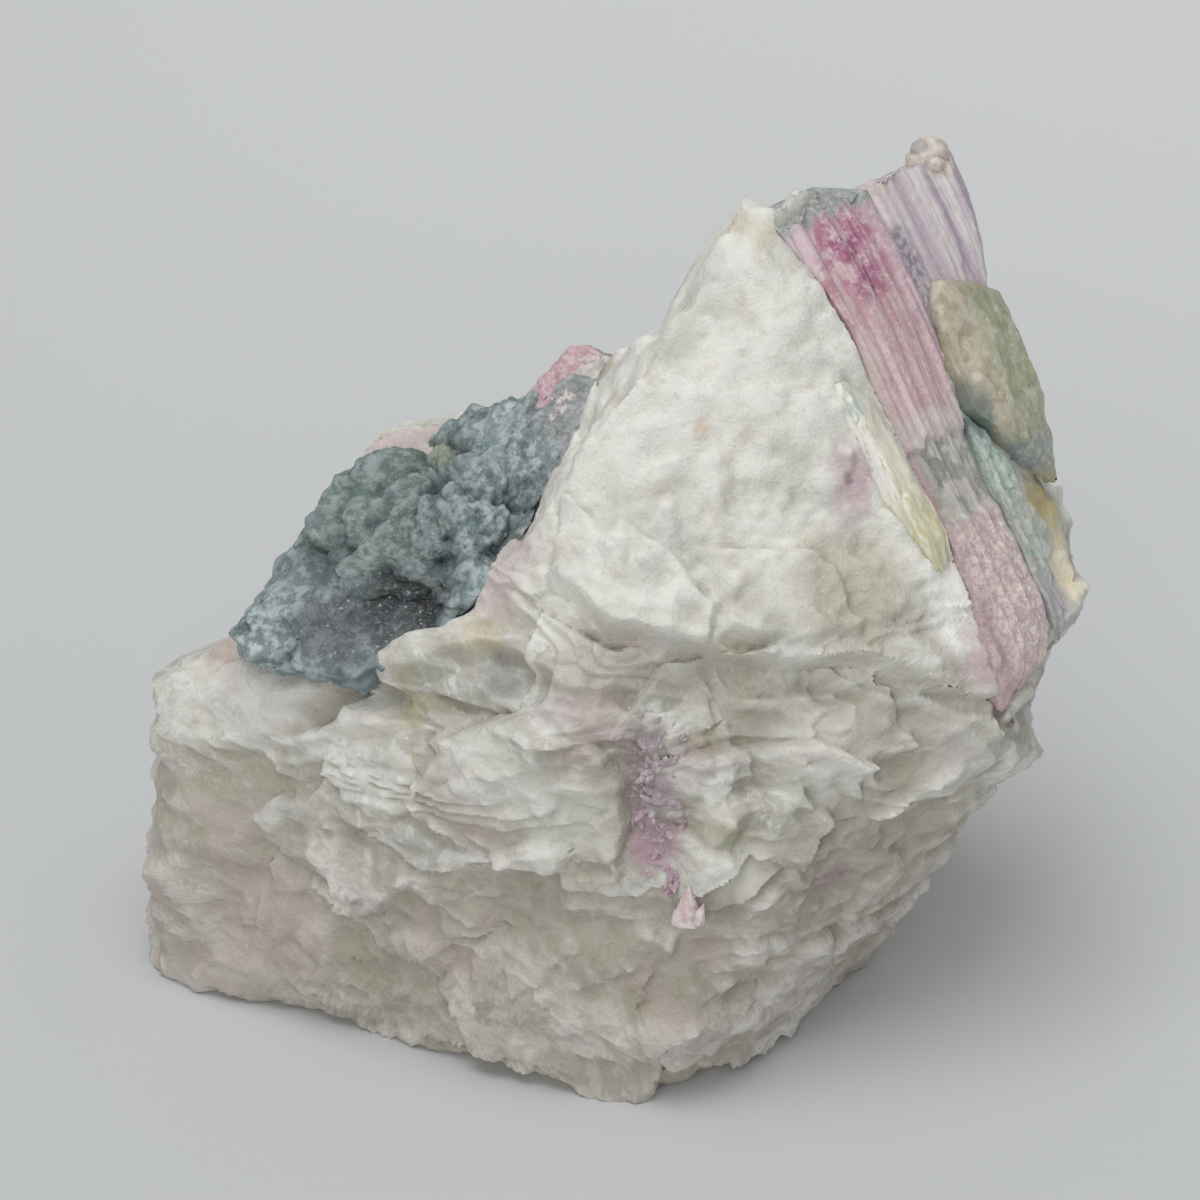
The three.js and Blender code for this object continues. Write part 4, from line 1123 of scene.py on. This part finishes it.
def lilac_ribs():
    """Lilac ribs with white and darker stripes, a bright strip beside the prism with mottled grey below it,
    and the tan of the knob and the top edge."""
    f = Finish("lilac_ribs", 0.45, glow=(0.25, 2))
    soft = f.bent(3, 1.0)
    s = f.along(BED_ALONG, BED_TOP, soft)
    w = f.along(BED_SIDE, BED_TOP, soft)
    fibre = f.noise(1, 4, 0.6, f.stretched((20, 0.7, 1.2)))
    broad = f.noise(1, 2, 0.5, f.stretched((40, 2.2, 3)))
    grain = f.noise(0.9, 4, 0.6)
    f.colour = f.mix(broad.rise(0.4, 0.6), (198, 185, 191), (218, 209, 210))
    for at, wide, tone, most in LILAC_STRIPES:
        stripe = (w - at).size().rise(wide, 0.2 * wide)
        f.paint(stripe * most, tone)
    f.paint(w.rise(33.2, 35.2) * 0.6, (178, 172, 178))
    bright = w.rise(19.6, 18.2) * s.rise(6.5, 4)
    f.paint(bright * 0.8, (236, 222, 226))
    mottle = w.rise(21.5, 18.8) * s.rise(3.5, 6)
    dark = f.mix(grain.rise(0.42, 0.58), (138, 126, 140), (190, 180, 186))
    f.paint(mottle * 0.9, dark)
    f.paint(fibre.rise(0.54, 0.7) * 0.5, (228, 222, 222))
    f.paint(fibre.rise(0.44, 0.3) * 0.35, (158, 140, 156))
    tan = f.patch(soft, bed(*KNOB_AT), 3.8, 0.8).most(s.rise(1.6, -0.4) * w.rise(22, 20) * 0.8)
    f.paint(tan * 0.85, f.mix(grain.rise(0.4, 0.6), (206, 194, 182), (226, 214, 203)))
    f.paint(f.patch(soft, bed(-3.6, 29.2, -1.4), 1.8, 0.5) * 0.6, (146, 152, 146))
    return f.finish(0.36 + 0.35 * grain, 0.6 * fibre + 0.4 * grain, 0.35)


def olive_rind():
    """Tan at the upper left and olive green to the right and low down, glassy in places, with painted glints
    and painted shade in the crack along its lower left edge.
    """
    f = Finish("olive_rind", 0.3, glow=(0.15, 1.5), Coat_Weight=0.3)
    soft = f.bent(3, 1.8)
    s = f.along(BED_ALONG, BED_TOP, soft)
    w = f.along(BED_SIDE, BED_TOP, soft)
    grain = f.noise(1.1, 4, 0.65)
    streak = f.noise(1, 3, 0.6, f.stretched((6, 1.1, 1.5), soft))
    green = (w + s * 0.1).rise(23, 26)
    f.colour = f.mix(green, (194, 184, 164), (166, 172, 144))
    f.paint(grain.rise(0.52, 0.68) * 0.55, (202, 194, 174))
    f.paint(streak.rise(0.5, 0.32) * 0.5, (150, 148, 124))
    f.paint(f.noise(2.4, 3, 0.6).rise(0.56, 0.66) * 0.5, (172, 156, 130))
    # Painted glints where this streaky noise is high, and dark flecks where it is low
    sparkle = f.noise(1.3, 4, 0.7, f.stretched((1.6, 1, 1), soft))
    f.paint(sparkle.rise(0.56, 0.68) * 0.6, (220, 216, 198))
    f.paint(sparkle.rise(0.42, 0.32) * 0.5, (128, 120, 98))
    _, chance = f.cells(1.7, place=f.bent(1.5, 0.8))
    f.paint(chance.rise(0.6, 0.95) * 0.25, (220, 214, 196))
    f.paint(chance.rise(0.4, 0.05) * 0.25, (136, 130, 104))
    # Painted shade of the crack along the rind's broken lower left edge, in dark blue-green, down its left
    # side and along its lower edge
    crack_shade = w.rise(19.5, 17) * s.rise(22, 27)
    f.paint(crack_shade * 0.7, (98, 118, 114))
    edge = (w - (s * 0.8 - 7.5)).rise(2.6, 0.6) * s.rise(27, 30)
    f.paint(edge * 0.65, (104, 124, 120))
    grey = f.mix(grain.rise(0.45, 0.6), (140, 146, 156), (186, 190, 186))
    f.paint(s.rise(33, 36) * s.rise(40, 38) * 0.6, grey)
    f.paint(s.rise(37, 40) * 0.5, (182, 168, 126))
    return f.finish(0.28 + 0.4 * grain, 0.5 * grain + 0.5 * streak, 0.4)


def turquoise():
    """Blue-green with paler and darker streaks, and the painted shadow of the rind's edge over its upper end.
    """
    f = Finish("turquoise", 0.45, glow=(0.15, 1.5))
    soft = f.bent(2.5, 1.4)
    s = f.along(BED_ALONG, BED_TOP, soft)
    grain = f.noise(1.0, 4, 0.65)
    streak = f.noise(1, 3, 0.6, f.stretched((5, 0.9, 1.2), soft))
    f.colour = f.mix(streak.rise(0.4, 0.6), (164, 182, 174), (202, 210, 201))
    f.paint(grain.rise(0.54, 0.68) * 0.5, (202, 208, 200))
    f.paint(grain.rise(0.44, 0.3) * 0.5, (118, 138, 136))
    # Painted shadow of the rind's broken edge over the upper end
    f.paint(s.rise(33, 29) * 0.7, (84, 106, 106))
    f.paint(s.rise(36, 42) * grain.rise(0.4, 0.55) * 0.6, (196, 186, 172))
    f.paint(s.rise(47, 53) * 0.6, (176, 168, 178))
    return f.finish(0.4 + 0.3 * grain, 0.5 * grain + 0.5 * streak, 0.4)


def yellow_glass():
    """Glassy pale yellow above, olive yellow below, with painted white glints."""
    f = Finish("yellow_glass", 0.12, glow=(0.35, 3), Coat_Weight=0.5, Coat_Roughness=0.05)
    soft = f.bent(2.5, 1.0)
    s = f.along(BED_ALONG, BED_TOP, soft)
    w = f.along(BED_SIDE, BED_TOP, soft)
    streak = f.noise(1, 3, 0.6, f.stretched((12, 0.6, 0.9), soft))
    grain = f.noise(0.9, 3, 0.6)
    f.colour = f.mix(s.rise(27, 38), (222, 217, 202), (212, 207, 170))
    f.paint(streak.rise(0.5, 0.62) * 0.75, (236, 233, 218))
    f.paint(streak.rise(0.45, 0.34) * 0.5, (184, 174, 140))
    f.paint(s.rise(24, 20) * 0.6, (206, 208, 198))
    # Painted white glints along the left edge
    f.paint(w.rise(-1.1, -2.0) * s.rise(37, 31) * streak.rise(0.42, 0.52), (252, 250, 240))
    f.paint(w.rise(0.4, 1.6) * s.rise(34, 28) * 0.5, (206, 190, 186))
    f.paint(f.patch(soft, bed(21.5, -2, 0), 1.5, 0.4) * 0.6, (176, 198, 190))
    return f.finish(0.1 + 0.3 * grain.rise(0.5, 0.7), 0.6 * streak + 0.2 * grain, 0.2)


def dark_mass(points):
    """Blue-green black, greener at the upper left, bluer to the right and low down, with painted shade
    between its lumps and in its hollow, a painted highlight on the lumps' tops and painted pale glints.
    """
    f = Finish("dark_mass", 0.4, Specular_IOR_Level=0.6)
    soft = f.bent(4, 2.5)
    near = f.bent(1.2, 0.6)
    relief = Amount(f, f.mark("relief").outputs["Fac"])
    patchy = f.noise(1.6, 4, 0.72)
    grain = f.noise(0.7, 4, 0.65)
    right = f.along(RIGHT, ORIGIN, soft)
    up = f.along(UP, ORIGIN, soft)
    f.colour = f.mix(patchy.rise(0.42, 0.62), (117, 133, 133), (188, 200, 201))
    green = f.mix(patchy.rise(0.4, 0.6), (78, 98, 92), (112, 130, 122))
    f.paint(right.rise(-10, -26) * up.rise(50, 60) * 0.65, green)
    # Painted shade between the lumps and a painted highlight on their tops, from the height of the relief
    f.paint(relief.rise(0.1, -1.3) * 0.6, (58, 67, 69))
    f.paint(relief.rise(0.1, 0.9) * 0.45, (150, 162, 163))
    low = f.patch(soft, front_point(points, -33, 1.5), 6.5, 0.4)
    f.paint(low * 0.7, (108, 124, 130))
    # Painted shade in the hollow: near black over the mass's own dark colour; the pale flecks and glints
    # below gather in it
    hollow_shade = f.patch(soft, front_point(points, -28.5, 10.5), 7.5, 0.5)
    hollow_shade = hollow_shade.most(f.patch(soft, front_point(points, -37, 8.5), 6.5, 0.5) * 0.8)
    f.paint(hollow_shade * 0.85, (56, 55, 58))
    rim = f.patch(soft, front_point(points, -5, 35), 9, 0.5)
    grey = f.mix(grain.rise(0.4, 0.6), (126, 124, 128), (168, 164, 162))
    f.paint(rim * 0.7, grey)
    flecks = f.noise(0.5, 3, 0.7).rise(0.54, 0.64)
    f.paint(flecks * (0.15 + 0.45 * hollow_shade), (132, 140, 144))
    # Painted glints: pale spots on a few small cells, which the roughness also makes shinier
    spot, chance = f.cells(0.5, place=near)
    glint = spot.rise(0.45, 0.2) * chance.rise(0.9, 0.96) * (0.2 + 0.7 * hollow_shade)
    f.paint(glint * 0.8, (196, 202, 204))
    yellow = f.patch(near, front_point(points, -24, 30), 2.2, 0.4)
    f.paint(yellow * 0.5, (146, 144, 106))
    shine = 0.5 - 0.3 * chance.rise(0.5, 0.9)
    return f.finish(shine, 0.6 * grain + 0.4 * patchy, 0.45)


def deep_rose(points):
    """Pink along the upper left edge, pale and grey crystals over the rest of it."""
    f = Finish("deep_rose", 0.45, glow=(0.25, 2))
    soft = f.bent(3, 1.5)
    inwards = f.along(0.72 * SIDEWAYS - 0.69 * UPWARDS, front_point(points, -10.3, 39.6), soft)
    grain = f.noise(0.9, 4, 0.7)
    f.colour = f.mix(grain.rise(0.42, 0.58), (148, 140, 142), (214, 206, 202))
    f.paint(f.patch(soft, front_point(points, -5, 39), 3, 0.4) * 0.6, (226, 218, 208))
    pink = f.mix(grain.rise(0.4, 0.62), (196, 154, 164), (212, 188, 192))
    f.paint(inwards.rise(2.4, 1.0) * 0.85, pink)
    return f.finish(0.4 + 0.3 * grain, grain, 0.3)


def mauve():
    """Grey purple above to pink below, with pale and dark flecks."""
    f = Finish("mauve", 0.45, glow=(0.3, 1.5))
    soft = f.bent(2, 1.2)
    up = f.along(UP, ORIGIN, soft)
    grain = f.noise(0.9, 4, 0.65)
    f.colour = f.mix(up.rise(42, 32), (176, 162, 166), (190, 158, 170))
    f.paint(grain.rise(0.5, 0.64) * 0.75, (216, 208, 203))
    f.paint(grain.rise(0.44, 0.32) * 0.5, (150, 126, 138))
    return f.finish(0.35 + 0.35 * grain, grain, 0.3)


def pale_pink():
    """Nearly white pink."""
    f = Finish("pale_pink", 0.4, glow=(0.35, 2))
    grain = f.noise(1.0, 4, 0.6)
    f.colour = f.mix(grain.rise(0.4, 0.6), (206, 182, 184), (226, 212, 210))
    return f.finish(0.35 + 0.3 * grain, grain, 0.25)


# Pieces


def place_piece(piece, node, material):
    """Give a piece its material, put it in the one body and hide the solid it stands for."""
    piece.data.materials.append(material)
    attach(piece, "root")
    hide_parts(node)


# Pieces of the bed: name, crystal, relief, extra shell, the solid it stands for, slot and material
BED_PIECES = [
    ("long_prism", LONG_PINK, pink_relief, None, "long_pink_crystal", "rose_tourmaline", pink_prism),
    ("ribbed_crystal", LILAC, lilac_relief, knob_shell, "lilac_crystal", "lilac_tourmaline", lilac_ribs),
    ("rind", RIND, rind_relief, None, "green_rind", "green_tourmaline", olive_rind),
    ("teal_prism", TEAL, teal_relief, None, "teal_crystal", "teal_tourmaline", turquoise),
    ("glassy_blade", YELLOW, yellow_relief, None, "yellow_blade", "yellow_crystal", yellow_glass),
]

directions, quads = direction_grid(ROCK_SQUARES, CROWDING)
rock_points, rock_relief, rock_cells = rock_surface(directions)
rock = make_piece("rock", rock_points, [quads], {"relief": rock_relief, "chip": rock_cells})
place_piece(rock, "matrix", white_rock(rock_points))
for name, crystal, relief, shell, node, slot, material in BED_PIECES:
    place_piece(bed_piece(name, crystal, relief, shell and shell()), node, material())
directions, quads = direction_grid(MASS_SQUARES, CROWDING)
reach, relief = mass_reach(directions)
mass_points = MASS_HEART + directions * reach[:, None]
mass = make_piece("dark_lumps", mass_points, [quads], {"relief": relief})
place_piece(mass, "dark_green_crystal", dark_mass(mass_points))
directions, quads = direction_grid(ROSE_SQUARES, 0)
rose_points = ROSE_HEART + directions * rose_reach(directions)[:, None]
rose = make_piece("rose_wedge", rose_points, [quads])
place_piece(rose, "rose_crystal", deep_rose(rose_points))
place_piece(mauve_blades(rock_points), "mauve_crystals", mauve())
place_piece(pale_triangle(rock_points), "pale_pink_crystal", pale_pink())

# Studio: a pale floor that is lighter to the right and at the back, a soft light overhead and one in front

FLOOR_HALF = 3.0
WORLD_COLOUR = (0.96, 0.98, 1, 1)
WORLD_STRENGTH = 0.4
BACK_RIGHT = (0.5, 1, 0)
LIGHT_AIM = Vector((0, 0, 0.05))

floor_mesh = bpy.data.meshes.new("floor")
floor_corners = [(x * FLOOR_HALF, y * FLOOR_HALF, 0) for x, y in ((-1, -1), (1, -1), (1, 1), (-1, 1))]
floor_mesh.from_pydata(floor_corners, [], [(0, 1, 2, 3)])
floor = bpy.data.objects.new("floor", floor_mesh)
bpy.context.scene.collection.objects.link(floor)
floor_finish = Finish("pale_floor", 0.8)
floor_tone = floor_finish.along(BACK_RIGHT, ORIGIN).rise(-200, 700)
floor_finish.colour = floor_finish.mix(floor_tone, (200, 202, 202), (252, 253, 252))
floor.data.materials.append(floor_finish.finish())

world = bpy.data.worlds.new("studio")
world.use_nodes = True
world.node_tree.nodes["Background"].inputs["Color"].default_value = WORLD_COLOUR
world.node_tree.nodes["Background"].inputs["Strength"].default_value = WORLD_STRENGTH
bpy.context.scene.world = world


def soft_light(name, place, size, power):
    """A square soft light that looks at the specimen's middle."""
    data = bpy.data.lights.new(name, "AREA")
    data.size, data.energy = size, power
    light = bpy.data.objects.new(name, data)
    light.location = place
    light.rotation_euler = (LIGHT_AIM - light.location).to_track_quat("-Z", "Y").to_euler()
    bpy.context.scene.collection.objects.link(light)


soft_light("overhead", (-0.1, -0.12, 0.9), 0.6, 3.6)
soft_light("front", (-0.3, -1.0, 0.42), 0.8, 3.2)

CAMERA_PITCH = math.radians(30)
CAMERA_DISTANCE = 450
CAMERA_AIM = np.array([-2.4, 0.0, 52.2])
FRAME_WIDTH = 0.3193  # width of the picture at one unit of distance
SENSOR_WIDTH = 36
camera_data = bpy.data.cameras.new("camera")
camera_data.sensor_width = SENSOR_WIDTH
camera_data.lens = SENSOR_WIDTH / FRAME_WIDTH
camera_data.clip_start, camera_data.clip_end = 0.01, 20
camera = bpy.data.objects.new("camera", camera_data)
look = np.array([0, math.cos(CAMERA_PITCH), -math.sin(CAMERA_PITCH)])
camera.location = (CAMERA_AIM - look * CAMERA_DISTANCE - MIDDLE) * MM
camera.rotation_euler = (math.pi / 2 - CAMERA_PITCH, 0, 0)
bpy.context.scene.collection.objects.link(camera)
bpy.context.scene.camera = camera
bpy.context.scene.view_settings.view_transform = "Standard"
